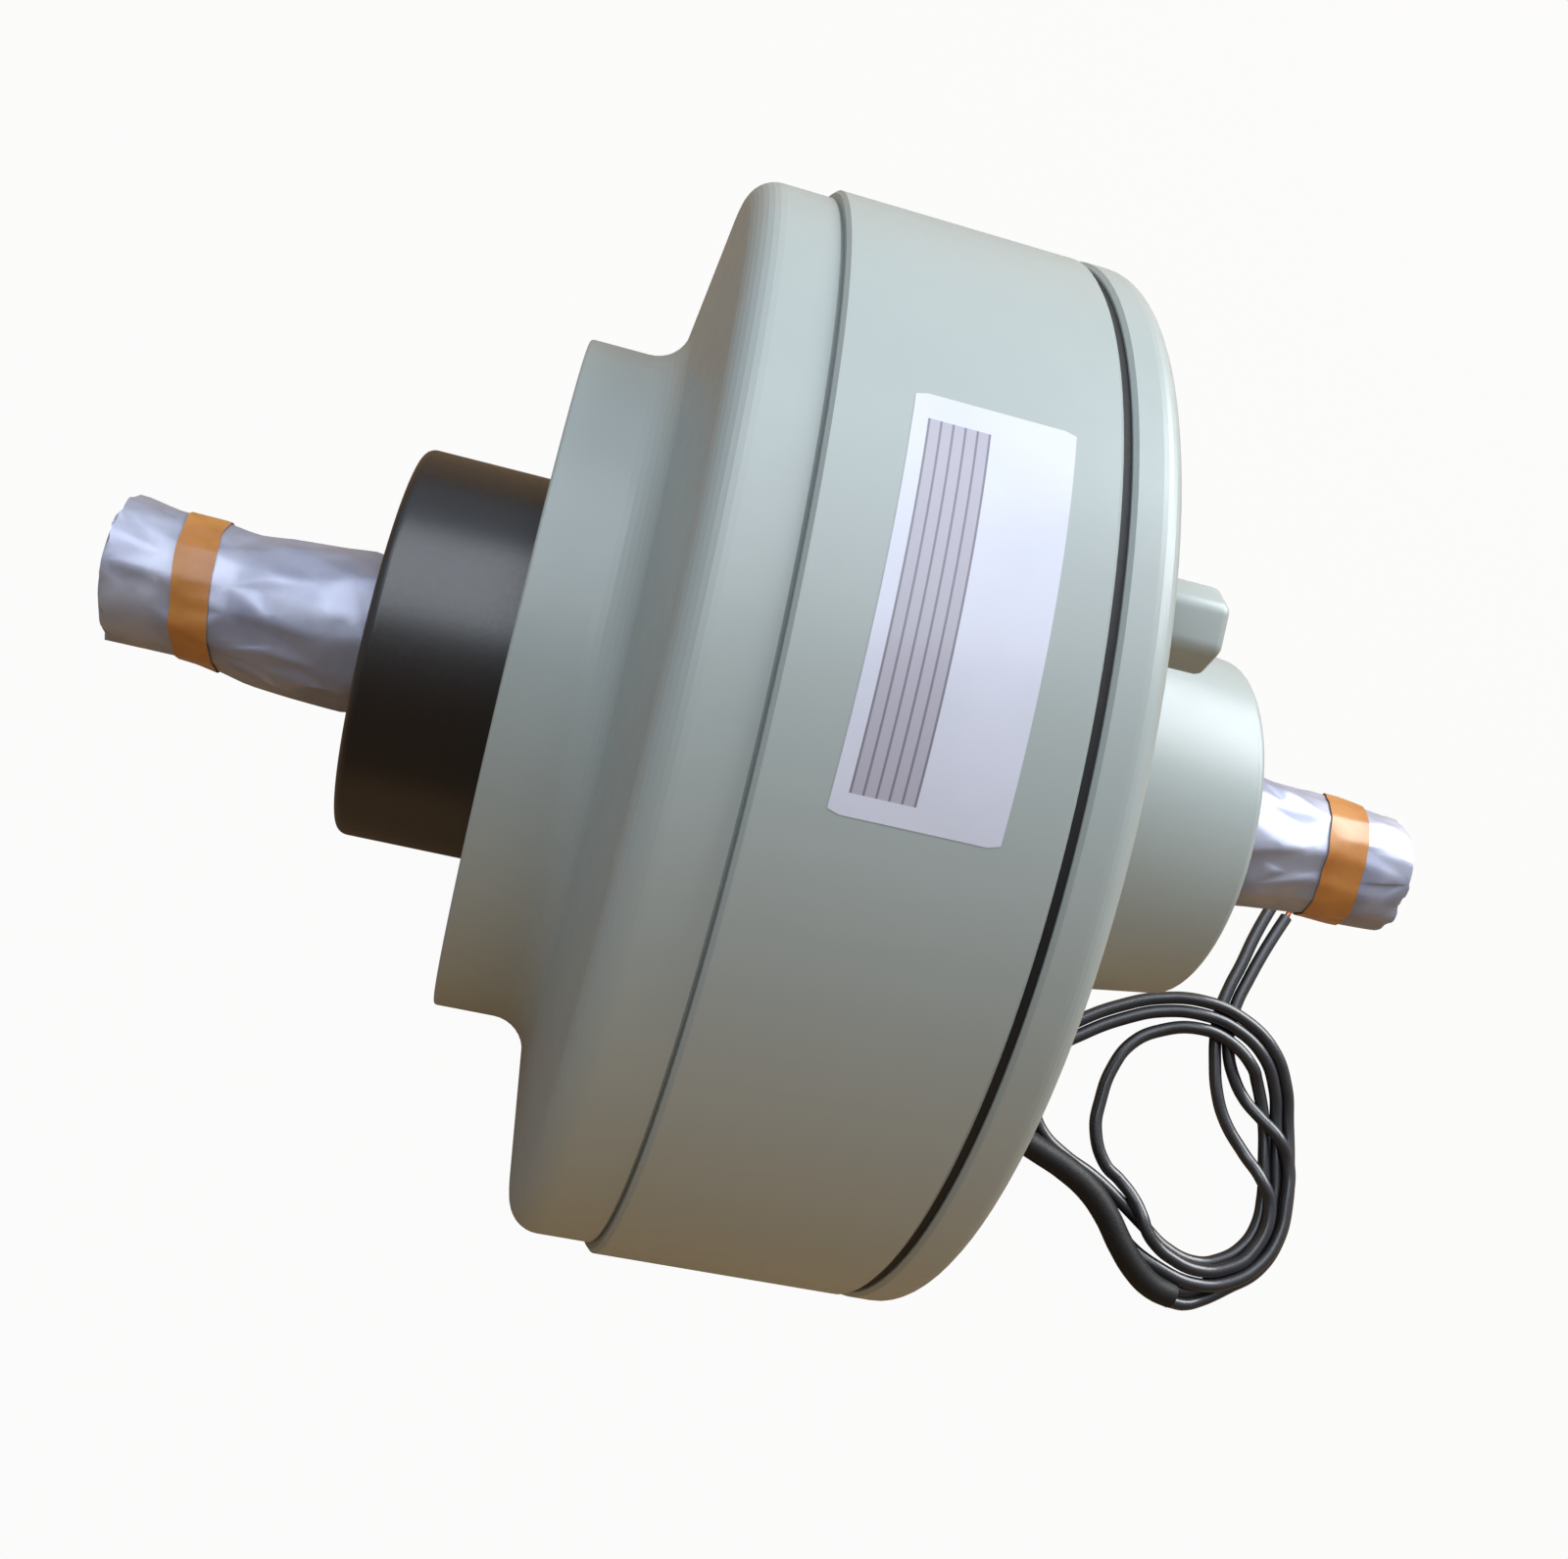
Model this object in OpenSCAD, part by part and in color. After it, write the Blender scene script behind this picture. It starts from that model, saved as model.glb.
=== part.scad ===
// Magnetic-particle clutch with two shafts, lying on its round side.
// +X runs along the shafts, from the input end to the output end, and +Z is up.
// The origin is on the surface that the clutch lies on, under the middle of its length.
// Profiles are lists of [x, radius], turned about the shafts' axis.

/* [Housing] */
// Diameter of the yoke and of the rear bracket's rim
body_d = 182; // [181:0.5:200]
// How much smaller in radius the front bracket's rim is than the yoke
bracket_step = 1.5; // [0.5:0.25:3]
// Diameter of the front boss, whose face bolts to the machine
front_boss_d = 115.2; // [110:0.4:124]
// Length of the front boss, from its face to the shoulder
front_boss_l = 15.9; // [15:0.1:24]
// Wall behind the shoulder of the front bracket
front_wall = 6.1; // [6:0.1:9]
// Length from the inside of that wall to the joint with the yoke
front_cavity_l = 10.6; // [9:0.1:16]
// Lean of the shoulder's face, in degrees
shoulder_lean = 8; // [2:1:14]
// Fillet between the front boss and the shoulder
boss_fillet = 6; // [2:0.5:8]
// Rounding of the shoulder's outer edge
shoulder_round = 5; // [2:0.5:7]
// Length of the yoke
yoke_l = 40.4; // [39:0.1:60]
// Width of the open seam between the yoke and the rear bracket
seam_w = 1.4; // [0.8:0.1:2.4]
// Depth of that seam
seam_depth = 4.5; // [3:0.25:4.5]
// How deep the black ring lies in that seam
seam_ring_inset = 1; // [0.5:0.25:2]
// Length of the rear bracket's rim
rear_rim_l = 8.2; // [6.4:0.1:12]
// Rounding of the rear rim's outer edge
rear_round = 4; // [2:0.25:4]
// Thickness of the rear bracket's plate
rear_plate = 6; // [5.6:0.1:6.4]
// Diameter of the rear boss at its end
rear_boss_d = 63; // [60:0.2:68]
// Length of the rear boss
rear_boss_l = 42.9; // [41:0.1:60]
// How much wider in radius the rear boss is at its root
rear_boss_draft = 5; // [1:0.5:8]
// Fillet at the root of the rear boss
rear_fillet = 4; // [2:0.5:6]
// Diameter of the black nose that centres the clutch in a machine
nose_d = 66.6; // [64:0.2:72]
// How far the nose stands out of the front boss
nose_l = 22.2; // [20:0.2:30]
// Rounding of the nose's edge
nose_round = 1.8; // [0.5:0.1:3]

/* [Fastening] */
// Pitch circle of the tapped holes in the front boss's face
face_pcd = 92; // [90:0.5:98]
// Tapping drill of those holes
face_hole_d = 6.8; // [5:0.1:7]
// Depth of those holes
face_hole_l = 14; // [8:0.5:14]
// How far the tie bolts sit in from the yoke's outside
tie_inset = 9.5; // [8.5:0.25:11]
// Number of tie bolts
tie_count = 6; // [3:1:6]
// Core diameter of a tie bolt
tie_d = 4.2; // [3.4:0.1:5]
// Head diameter of a tie bolt
tie_head_d = 8.5; // [7:0.1:8.6]
// Head length of a tie bolt
tie_head_l = 5; // [3:0.25:5]
// How far inside the tie bolts' circle the brackets centre in the yoke
register_inset = 5.5; // [4.5:0.25:7]
// Pitch circle of the screws in the nose's flange
nose_pcd = 84; // [82:0.5:88]
// Core diameter of the nose's screws
nose_screw_d = 4.2; // [3:0.1:4.6]

/* [Shafts and bearings] */
// Diameter of both shaft ends
shaft_d = 20; // [16:0.5:22]
// How far the input shaft stands out of the nose, with its wrapping
in_shaft_l = 43.8; // [38:0.1:60]
// How far the output shaft stands out of the rear boss, with its wrapping
out_shaft_l = 40.9; // [38:0.1:64]
// Width of the keyways in the shaft ends
key_w = 6; // [4:0.5:6]
// Depth of the keyways
key_depth = 3.5; // [2:0.25:4]
// Length of the keyways
key_l = 28; // [12:1:32]
// Bore of the main bearings
journal_d = 25; // [24:0.2:26]
// Outer diameter of the main bearings
bearing_d = 52; // [50:0.2:54]
// Width of the main bearings
bearing_w = 15; // [12:0.25:15.5]
// Bore of the pilot bearing
pilot_d = 17; // [15:0.25:18]
// Outer diameter of the pilot bearing
pilot_bearing_d = 35; // [34:0.25:37]
// Width of the pilot bearing
pilot_w = 10; // [8:0.25:10]
// Width of each shaft seal
seal_w = 5; // [4:0.25:6]
// Width of the retaining rings
clip_w = 1.5; // [1:0.1:2]

/* [Magnet and rotors] */
// Radial depth of the field coil's pocket
coil_depth = 12.2; // [10:0.1:15]
// Thickness of the poles' lips under the coil
pole_lip = 3.6; // [3:0.1:5]
// Air gap between the poles and the drive cylinder
air_gap = 0.5; // [0.3:0.1:1]
// Wall of the drive cylinder
cylinder_wall = 6.7; // [6:0.1:8]
// Gap that holds the magnetic powder
powder_gap = 1.5; // [1.2:0.1:2.5]
// Width of the driven rotor's rim
rotor_w = 27; // [22:0.5:28]
// Width of the field coil's pocket
coil_w = 26; // [20:0.5:27]
// Slot between the two pole lips
pole_slot = 6; // [3:0.5:10]
// Thickness of the drive flange
drive_flange_t = 6; // [5:0.25:6.5]
// Thickness of the drive cylinder's end plate
end_plate_t = 4; // [3.5:0.1:4.5]

/* [Plug, leads and wrapping] */
// How far the filler plug sits in from the yoke's outside
plug_inset = 18; // [15:0.5:24]
// Width of the plug's hexagon across its flats
plug_af = 11; // [10:0.5:17]
// Length of the plug's hexagon
plug_l = 12; // [6:0.2:13]
// Thickness of the washer under the plug
washer_t = 1.3; // [0.8:0.1:2]
// Diameter of the black sleeve over the leads
sleeve_d = 6; // [5:0.25:7]
// Diameter of one lead
lead_d = 3; // [2:0.25:3]
// Thickness of the foil over the shafts' tips
foil_t = 0.5; // [0.3:0.1:1]
// Thickness of the tape round the foil
tape_t = 0.4; // [0.2:0.1:0.8]
// Width of the tape on the input shaft
in_tape_w = 6.5; // [4:0.25:9]
// Width of the tape on the output shaft
out_tape_w = 8.5; // [4:0.25:10]

/* [Hidden] */

// Counts
face_count = 4;
nose_count = 4;
drive_count = 6;

// Radii
body_r = body_d / 2;
axis_z = body_r;
rim_r = body_r - bracket_step;
boss_r = front_boss_d / 2;
nose_r = nose_d / 2;
shaft_r = shaft_d / 2;
journal_r = journal_d / 2;
bearing_r = bearing_d / 2;
tie_r = body_r - tie_inset;
register_r = tie_r - register_inset;
register_wall = 2.5;
cavity_r = register_r - register_wall;
coil_in_r = register_r - coil_depth;
pole_r = coil_in_r - pole_lip;
cylinder_r = pole_r - air_gap;
chamber_r = cylinder_r - cylinder_wall;
rotor_r = chamber_r - powder_gap;
// The nose is a little wider inside the front bracket than outside it
nose_root_r = nose_r + 0.9;
lip_r = bearing_r - 4;
collar_r = journal_r + 3.5;
nose_flange_r = nose_pcd / 2 + 8;
rear_boss_r = rear_boss_d / 2;
rear_root_r = rear_boss_r + rear_boss_draft;

// Lengths that repeat
bobbin_wall = 1.2;
register_l = 2.5;
edge = 0.6;
front_lip_w = 2;
rear_lip_w = 5;
running_gap = 1;
fit_gap = 0.1;
clip_depth = 0.8;
clip_wall = 3;
// Collar on the output shaft between the pilot bearing and the rotor's retaining ring
pilot_step_l = 1.5;
pilot_step_r = 1.5;

// Stations along X, from the input end to the output end
overall_l = in_shaft_l + nose_l + front_boss_l + front_wall + front_cavity_l
    + yoke_l + seam_w + rear_rim_l + rear_boss_l + out_shaft_l;
x_tip_in = -overall_l / 2;
x_nose = x_tip_in + in_shaft_l;
x_face = x_nose + nose_l;
x_shoulder = x_face + front_boss_l;
x_cavity = x_shoulder + front_wall;
x_joint = x_cavity + front_cavity_l;
x_mid = x_joint + yoke_l / 2;
x_seam = x_joint + yoke_l;
x_rim = x_seam + seam_w;
x_back = x_rim + rear_rim_l;
x_plate = x_back - rear_plate;
x_boss_end = x_back + rear_boss_l;
x_tip_out = x_boss_end + out_shaft_l;

// Places of the bearings, the retaining rings and the rotors
x_in_clip = x_nose + seal_w;
x_in_a = x_in_clip + clip_w;
x_in_b = x_cavity - front_lip_w - bearing_w;
x_out_a = x_plate + rear_lip_w;
x_out_clip = x_boss_end - seal_w - clip_w;
x_out_b = x_out_clip - bearing_w;
x_flange = x_cavity + running_gap;
x_cylinder = x_flange + drive_flange_t;
x_end_plate = x_plate - 4 - end_plate_t;
x_rotor = x_mid - rotor_w / 2;
x_rotor_end = x_rotor + rotor_w;
x_pilot = x_rotor - clip_w - pilot_step_l - pilot_w;
x_hub_end = x_pilot + pilot_w + edge;
nose_seat_x = x_cavity - 6;

// Fasteners
bolt_clear = 0.65;
tie_thread_l = 8;
tie_turn = 30;
nose_head_r = nose_screw_d / 2 + 2.1;
nose_head_l = 2.8;
nose_thread_l = 9;
drive_head_r = cylinder_wall / 2 - 0.55;
drive_screw_r = drive_head_r - 1.15;
drive_head_l = 2.2;
drive_thread_l = 7;
drive_pitch_r = (chamber_r + cylinder_r) / 2;

// Ball bearings: balls between two races whose lands stand off the pitch circle
land_share = 0.66;
main_balls = 9;
main_pitch_r = (journal_r + bearing_r) / 2;
main_ball_r = (bearing_r - journal_r) * 0.29;
main_land = main_ball_r * land_share;
pilot_balls_count = 10;
pilot_r = pilot_d / 2;
pilot_out_r = pilot_bearing_d / 2;
pilot_pitch_r = (pilot_r + pilot_out_r) / 2;
pilot_ball_r = (pilot_out_r - pilot_r) * 0.28;
pilot_land = pilot_ball_r * land_share;
steel = [0.72, 0.73, 0.75];

// Keys
rotor_seat_r = 12;
rotor_key_l = 18;
rotor_key_w = 6;
rotor_key_h = 6;
rotor_key_sink = 3.5;

// The plug and the grommet on the rear bracket, as angles from the top towards -Y
plug_r = body_r - plug_inset;
plug_turn = -7.1;
plug_stem_r = 4;
plug_chamfer = 1.6;
plug_spin = -8;
grommet_turn = 137;
grommet_r = register_r - 7;
grommet_body_r = 5.5;
grommet_flange_r = 7.5;
grommet_flange_t = 2.5;
grommet_y = -grommet_r * sin(grommet_turn);
grommet_z = axis_z + grommet_r * cos(grommet_turn);

// Foil wrapping: [share of the wrapped length from the tip, radius over the shaft's]. The film
// lies flat under the tape, at this share of its length.
foil_end_gap = 1.4;
in_foil_l = in_shaft_l - foil_end_gap;
out_foil_l = out_shaft_l - foil_end_gap;
in_tape_share = 0.37;
out_tape_share = 0.26;
in_tape_part = (in_tape_w / 2 + 0.5) / in_foil_l;
out_tape_part = (out_tape_w / 2 + 0.5) / out_foil_l;
in_foil_shape = [[0.02, 0.8], [in_tape_share - in_tape_part, 1.6],
    [in_tape_share + in_tape_part, 1.6], [0.62, 2.6], [0.8, 3.2], [0.93, 2.4], [1, 1]];
out_foil_shape = [[0.02, 0.6], [out_tape_share - out_tape_part, 1.2],
    [out_tape_share + out_tape_part, 1.2], [0.6, 2], [0.94, 3.1], [1, 2.8]];

// The leads' routes: the sleeve from the field coil's end to the loose coil, and two tails
sleeve_route = [
    [16, -47.1, 40.5], [27, -47.1, 40.5], [36, -47.1, 40.5], [43.5, -47.4, 39.3],
    [51, -48.3, 35.5], [58, -49.8, 29], [65, -51.3, 21], [72, -53.3, 13], [78.9, -55.2, 7],
    [85, -57.7, 5]];
tail_a_route = [
    [142.4, -56.3, 1.6], [137.4, -50.9, 1.6], [132.9, -45.4, 1.6], [130.2, -39.4, 1.6],
    [128.9, -32.5, 1.6], [128.2, -25.6, 1.6], [128.6, -18.8, 1.6], [130.3, -12.8, 1.6],
    [132.6, -6.9, 1.6], [135.2, 0.1, 1.6], [138.2, 7, 1.6], [141.1, 13, 1.6]];
tail_b_route = [
    [143.3, -48.4, 1.6], [138.4, -44.4, 1.6], [134.2, -39.9, 1.6], [132.7, -33.5, 1.6],
    [132.3, -26.6, 1.6], [133, -20.2, 1.6], [134.7, -13.8, 1.6], [137, -7.9, 1.6],
    [139.8, -1.9, 1.6], [143.1, 4.1, 1.6], [146.6, 9, 1.6]];
loop_x = 121.5;
loop_y = -50.4;
loop_r = 29;
loop_w = 13;
loop_h = 9;

// ---- Shared shapes ----

// Points of an arc round [cx, cr], from angle a0 to a1
function arc(cx, cr, r, a0, a1, n = 8) =
    [for (i = [0 : n]) let (a = a0 + (a1 - a0) * i / n) [cx + r * cos(a), cr + r * sin(a)]];

function unit(v) = v / norm(v);

// Turns a profile of [x, radius] about the shafts' axis
module turned(profile) {
    translate([0, 0, axis_z]) rotate([0, 90, 0])
        rotate_extrude($fn = 96) polygon([for (p = profile) [p[1], p[0]]]);
}

// Turns a profile of [distance, radius] about a line along X through the origin
module turned_here(profile) {
    rotate([0, 90, 0]) rotate_extrude($fn = 64) polygon([for (p = profile) [p[1], p[0]]]);
}

module ring(x0, x1, r0, r1) {
    turned([[x0, r0], [x0, r1], [x1, r1], [x1, r0]]);
}

module rod(x0, x1, r) {
    translate([x0, 0, 0]) rotate([0, 90, 0]) cylinder(h = x1 - x0, r = r, $fn = 48);
}

// Puts its children at a radius, at an angle from the top towards -Y
module at(radius, turn) {
    translate([0, 0, axis_z]) rotate([turn, 0, 0]) translate([0, 0, radius]) children();
}

module around(count, radius, start = 0) {
    for (i = [0 : count - 1]) at(radius, start + i * 360 / count) children();
}

// A box along X on top of a shaft, for keys and keyways
module key_box(x0, length, width, low, high) {
    translate([x0, -width / 2, axis_z + low]) cube([length, width, high - low]);
}

// A retaining ring with its gap at the top
module clip(x0, r0, r1) {
    difference() {
        ring(x0, x0 + clip_w, r0, r1);
        key_box(x0 - 1, clip_w + 2, 5, r0 - 2, r1 + 2);
    }
}

// One race of a ball bearing: flat on the side at r_flat and grooved at the pitch radius
module race(x0, width, r_flat, r_land, pitch_r, ball_r) {
    half = width / 2;
    groove_r = ball_r + fit_gap;
    // Angle at which the groove meets the land
    a = asin(abs(r_land - pitch_r) / groove_r);
    groove = (r_land > pitch_r)
        ? arc(x0 + half, pitch_r, groove_r, a, 180 - a, 10)
        : arc(x0 + half, pitch_r, groove_r, -a, -180 + a, 10);
    turned(concat([[x0 + width, r_flat], [x0 + width, r_land]], groove,
        [[x0, r_land], [x0, r_flat]]));
}

module balls(x0, width, pitch_r, ball_r, count) {
    around(count, pitch_r) translate([x0 + width / 2, 0, 0]) sphere(r = ball_r, $fn = 32);
}

// A shaft seal whose lip just clears the journal
module seal(x0) {
    lip = journal_r + fit_gap;
    turned([[x0, lip + 2], [x0, bearing_r], [x0 + seal_w, bearing_r], [x0 + seal_w, lip + 2],
        [x0 + seal_w * 0.7, lip], [x0 + seal_w * 0.3, lip]]);
}

// Tube swept along a route that is never upright
module tube(route, r, sides) {
    last = len(route) - 1;
    points = [for (i = [0 : last])
        let (d = unit(route[min(i + 1, last)] - route[max(i - 1, 0)]))
        let (side = unit(cross(d, [0, 0, 1])))
        let (top = cross(side, d))
        for (k = [0 : sides - 1])
            let (a = 360 * (k + 0.5) / sides)
            route[i] + r * (cos(a) * side + sin(a) * top)];
    walls = [for (i = [0 : last - 1]) for (k = [0 : sides - 1])
        let (n = (k + 1) % sides)
        each [[i * sides + k, (i + 1) * sides + k, (i + 1) * sides + n],
            [i * sides + k, (i + 1) * sides + n, i * sides + n]]];
    ends = [[for (k = [0 : sides - 1]) k], [for (k = [sides - 1 : -1 : 0]) last * sides + k]];
    polyhedron(points, concat(walls, ends));
}

// ---- Housing ----

// Outline of the front bracket from the boss's face to the joint with the yoke
function front_outline() =
    let (lean_x = cos(shoulder_lean), lean_r = sin(shoulder_lean))
    let (root_x = x_shoulder - boss_fillet, root_r = boss_r + boss_fillet)
    let (top_r = rim_r - shoulder_round)
    let (top_x = root_x + (boss_fillet + shoulder_round + (top_r - root_r) * lean_r) / lean_x)
    concat(
        [[x_face, nose_root_r]],
        arc(x_face + edge, boss_r - edge, edge, 180, 90, 4),
        arc(root_x, root_r, boss_fillet, -90, -shoulder_lean),
        arc(top_x, top_r, shoulder_round, 180 - shoulder_lean, 90),
        [[x_joint - edge, rim_r], [x_joint, rim_r - edge]]);

module front_bracket() {
    color([0.68, 0.73, 0.71]) difference() {
        turned(concat(front_outline(), [
            [x_joint, register_r], [x_joint + register_l, register_r],
            [x_joint + register_l, cavity_r], [x_cavity, cavity_r],
            [x_cavity, nose_flange_r], [nose_seat_x, nose_flange_r],
            [nose_seat_x, nose_root_r]]));
        around(face_count, face_pcd / 2, 45) rod(x_face - 1, x_face + face_hole_l, face_hole_d / 2);
        around(tie_count, tie_r, tie_turn)
            rod(x_joint - tie_thread_l - 1, x_joint + 1, tie_d / 2);
        around(nose_count, nose_pcd / 2)
            rod(nose_seat_x - nose_thread_l - 1, nose_seat_x + 1, nose_screw_d / 2);
    }
}

module bearing_nose() {
    color([0.09, 0.08, 0.08]) difference() {
        turned(concat(
            [[x_nose, bearing_r]],
            arc(x_nose + nose_round, nose_r - nose_round, nose_round, 180, 90),
            [[x_face, nose_r], [x_face, nose_root_r], [nose_seat_x, nose_root_r],
            [nose_seat_x, nose_flange_r], [x_cavity, nose_flange_r], [x_cavity, lip_r], [x_cavity - front_lip_w, lip_r], [x_cavity - front_lip_w, bearing_r],
            [x_in_a, bearing_r], [x_in_a, bearing_r + clip_depth],
            [x_in_clip, bearing_r + clip_depth], [x_in_clip, bearing_r]]));
        around(nose_count, nose_pcd / 2) {
            rod(nose_seat_x - 1, x_cavity + 1, nose_screw_d / 2 + bolt_clear);
            rod(x_cavity - nose_head_l - fit_gap, x_cavity + 1, nose_head_r + 0.3);
        }
    }
}

module yoke() {
    color([0.70, 0.75, 0.73]) difference() {
        turned([
            [x_joint, register_r], [x_joint, body_r - edge], [x_joint + edge, body_r],
            [x_seam - edge, body_r], [x_seam, body_r - edge], [x_seam, register_r],
            [x_mid - coil_w / 2, register_r], [x_mid - coil_w / 2, coil_in_r],
            [x_mid - pole_slot / 2, coil_in_r], [x_mid - pole_slot / 2, pole_r],
            [x_joint + register_l, pole_r], [x_joint + register_l, register_r]]);
        around(tie_count, tie_r, tie_turn) rod(x_joint - 1, x_seam + 1, tie_d / 2 + bolt_clear);
    }
}

module pole_ring() {
    color([0.45, 0.46, 0.48]) difference() {
        turned([
            [x_mid + pole_slot / 2, pole_r], [x_mid + pole_slot / 2, coil_in_r],
            [x_mid + coil_w / 2, coil_in_r], [x_mid + coil_w / 2, register_r],
            [x_seam - register_l, register_r], [x_seam - register_l, pole_r]]);
        at(grommet_r, grommet_turn)
            rod(x_mid + coil_w / 2 - 1, x_seam, sleeve_d / 2 + 0.3);
    }
}

// Outline of the rear bracket from the seam over the rim and along the boss to its end
function rear_outline() = concat(
    [[x_seam, body_r - seam_depth], [x_rim, body_r - seam_depth], [x_rim, body_r - edge],
    [x_rim + edge, body_r]],
    arc(x_back - rear_round, body_r - rear_round, rear_round, 90, 0),
    arc(x_back + rear_fillet, rear_root_r + rear_fillet, rear_fillet, 180, 270),
    arc(x_boss_end - nose_round, rear_boss_r - nose_round, nose_round, 90, 0));

module rear_bracket() {
    color([0.70, 0.75, 0.73]) difference() {
        turned(concat(
            [[x_plate, lip_r], [x_plate, cavity_r], [x_seam - register_l, cavity_r],
            [x_seam - register_l, register_r], [x_seam, register_r]],
            rear_outline(),
            [[x_boss_end, bearing_r], [x_out_clip + clip_w, bearing_r],
            [x_out_clip + clip_w, bearing_r + clip_depth], [x_out_clip, bearing_r + clip_depth],
            [x_out_clip, bearing_r], [x_out_a, bearing_r], [x_out_a, lip_r]]));
        around(tie_count, tie_r, tie_turn) {
            rod(x_seam - 1, x_back + 1, tie_d / 2 + bolt_clear);
            rod(x_back - tie_head_l, x_back + 1, tie_head_d / 2 + 0.3);
        }
        at(grommet_r, grommet_turn) rod(x_plate - 1, x_back + 1, grommet_body_r);
        at(plug_r, plug_turn) rod(x_plate - 1, x_back + 1, plug_stem_r);
    }
}

// Rubber ring that closes the seam
module seam_ring() {
    color([0.08, 0.08, 0.09]) ring(x_seam, x_rim, body_r - seam_depth, body_r - seam_ring_inset);
}

module tie_bolts() {
    color([0.35, 0.36, 0.38]) around(tie_count, tie_r, tie_turn) {
        rod(x_joint - tie_thread_l, x_back - tie_head_l, tie_d / 2);
        difference() {
            rod(x_back - tie_head_l, x_back - fit_gap, tie_head_d / 2);
            translate([x_back - tie_head_l / 2, 0, 0]) rotate([0, 90, 0])
                cylinder(h = tie_head_l, r = tie_d / 2, $fn = 6);
        }
    }
}

module nose_screws() {
    head_x = x_cavity - nose_head_l;
    color([0.3, 0.3, 0.32]) around(nose_count, nose_pcd / 2) {
        rod(nose_seat_x - nose_thread_l, head_x, nose_screw_d / 2);
        rod(head_x, x_cavity - fit_gap, nose_head_r);
    }
}

// ---- Field coil ----

module coil_bobbin() {
    x0 = x_mid - coil_w / 2 + fit_gap;
    x1 = x_mid + coil_w / 2 - fit_gap;
    r0 = coil_in_r + fit_gap;
    r1 = register_r - fit_gap;
    floor_r = r0 + bobbin_wall;
    color([0.85, 0.8, 0.66]) turned([[x0, r0], [x0, r1], [x0 + bobbin_wall, r1],
        [x0 + bobbin_wall, floor_r], [x1 - bobbin_wall, floor_r], [x1 - bobbin_wall, r1],
        [x1, r1], [x1, r0]]);
}

module coil_winding() {
    inset = fit_gap + bobbin_wall;
    color([0.72, 0.4, 0.2]) ring(x_mid - coil_w / 2 + inset, x_mid + coil_w / 2 - inset,
        coil_in_r + inset, register_r - 1);
}

// ---- Bearings, seals and retaining rings in the housing ----

module input_bearing_outers() {
    color(steel) for (x = [x_in_a, x_in_b])
        race(x, bearing_w, bearing_r, main_pitch_r + main_land, main_pitch_r, main_ball_r);
}

module output_bearing_outers() {
    color(steel) for (x = [x_out_a, x_out_b])
        race(x, bearing_w, bearing_r, main_pitch_r + main_land, main_pitch_r, main_ball_r);
}

module input_seal() {
    color([0.12, 0.12, 0.12]) seal(x_nose);
}

module output_seal() {
    color([0.12, 0.12, 0.12]) seal(x_boss_end - seal_w);
}

module nose_clip() {
    color(steel) clip(x_in_clip, bearing_r - clip_wall, bearing_r + clip_depth);
}

module rear_clip() {
    color(steel) clip(x_out_clip, bearing_r - clip_wall, bearing_r + clip_depth);
}

// ---- Plug and leads ----

module filler_plug() {
    head_x = x_back + washer_t;
    // Radius over the hexagon's corners
    corner_r = plug_af / 2 / cos(30);
    color([0.66, 0.71, 0.69]) at(plug_r, plug_turn) {
        intersection() {
            translate([head_x, 0, 0]) rotate([plug_spin, 0, 0]) rotate([0, 90, 0])
                cylinder(h = plug_l, r = corner_r, $fn = 6);
            translate([head_x, 0, 0]) turned_here([[0, 0], [0, corner_r + 1],
                [plug_l - plug_chamfer * 0.6, corner_r], [plug_l, corner_r - plug_chamfer],
                [plug_l, 0]]);
        }
        rod(x_plate, head_x, plug_stem_r);
    }
}

module plug_washer() {
    color([0.25, 0.25, 0.25]) at(plug_r, plug_turn) translate([x_back, 0, 0])
        turned_here([[0, plug_stem_r], [0, plug_af / 2 - 0.4], [washer_t, plug_af / 2 - 0.4],
            [washer_t, plug_stem_r]]);
}

module lead_grommet() {
    bore = sleeve_d / 2 + fit_gap;
    out_x = x_back - x_plate + grommet_flange_t;
    color([0.1, 0.1, 0.1]) at(grommet_r, grommet_turn) translate([x_plate, 0, 0])
        turned_here([[0, bore], [0, grommet_body_r], [x_back - x_plate, grommet_body_r],
            [x_back - x_plate, grommet_flange_r], [out_x - 1, grommet_flange_r],
            [out_x, grommet_flange_r - 1.5], [out_x, bore]]);
}

module lead_sleeve() {
    color([0.06, 0.06, 0.06]) tube(sleeve_route, sleeve_d / 2, 8);
}

// The solid that the loose turns of both leads fill
module lead_coil() {
    corner = 2.5;
    half = loop_w / 2;
    color([0.1, 0.1, 0.11]) translate([loop_x, loop_y, 0]) rotate_extrude($fn = 72)
        polygon(concat(
            arc(loop_r + half - corner, corner, corner, -90, 0, 3),
            arc(loop_r + half - corner, loop_h - corner, corner, 0, 90, 3),
            arc(loop_r - half + corner, loop_h - corner, corner, 90, 180, 3),
            arc(loop_r - half + corner, corner, corner, 180, 270, 3)));
}

module lead_tail_a() {
    color([0.1, 0.1, 0.11]) tube(tail_a_route, lead_d / 2, 8);
}

module lead_tail_b() {
    color([0.1, 0.1, 0.11]) tube(tail_b_route, lead_d / 2, 8);
}

// ---- Input side: what the input shaft turns ----

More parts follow.
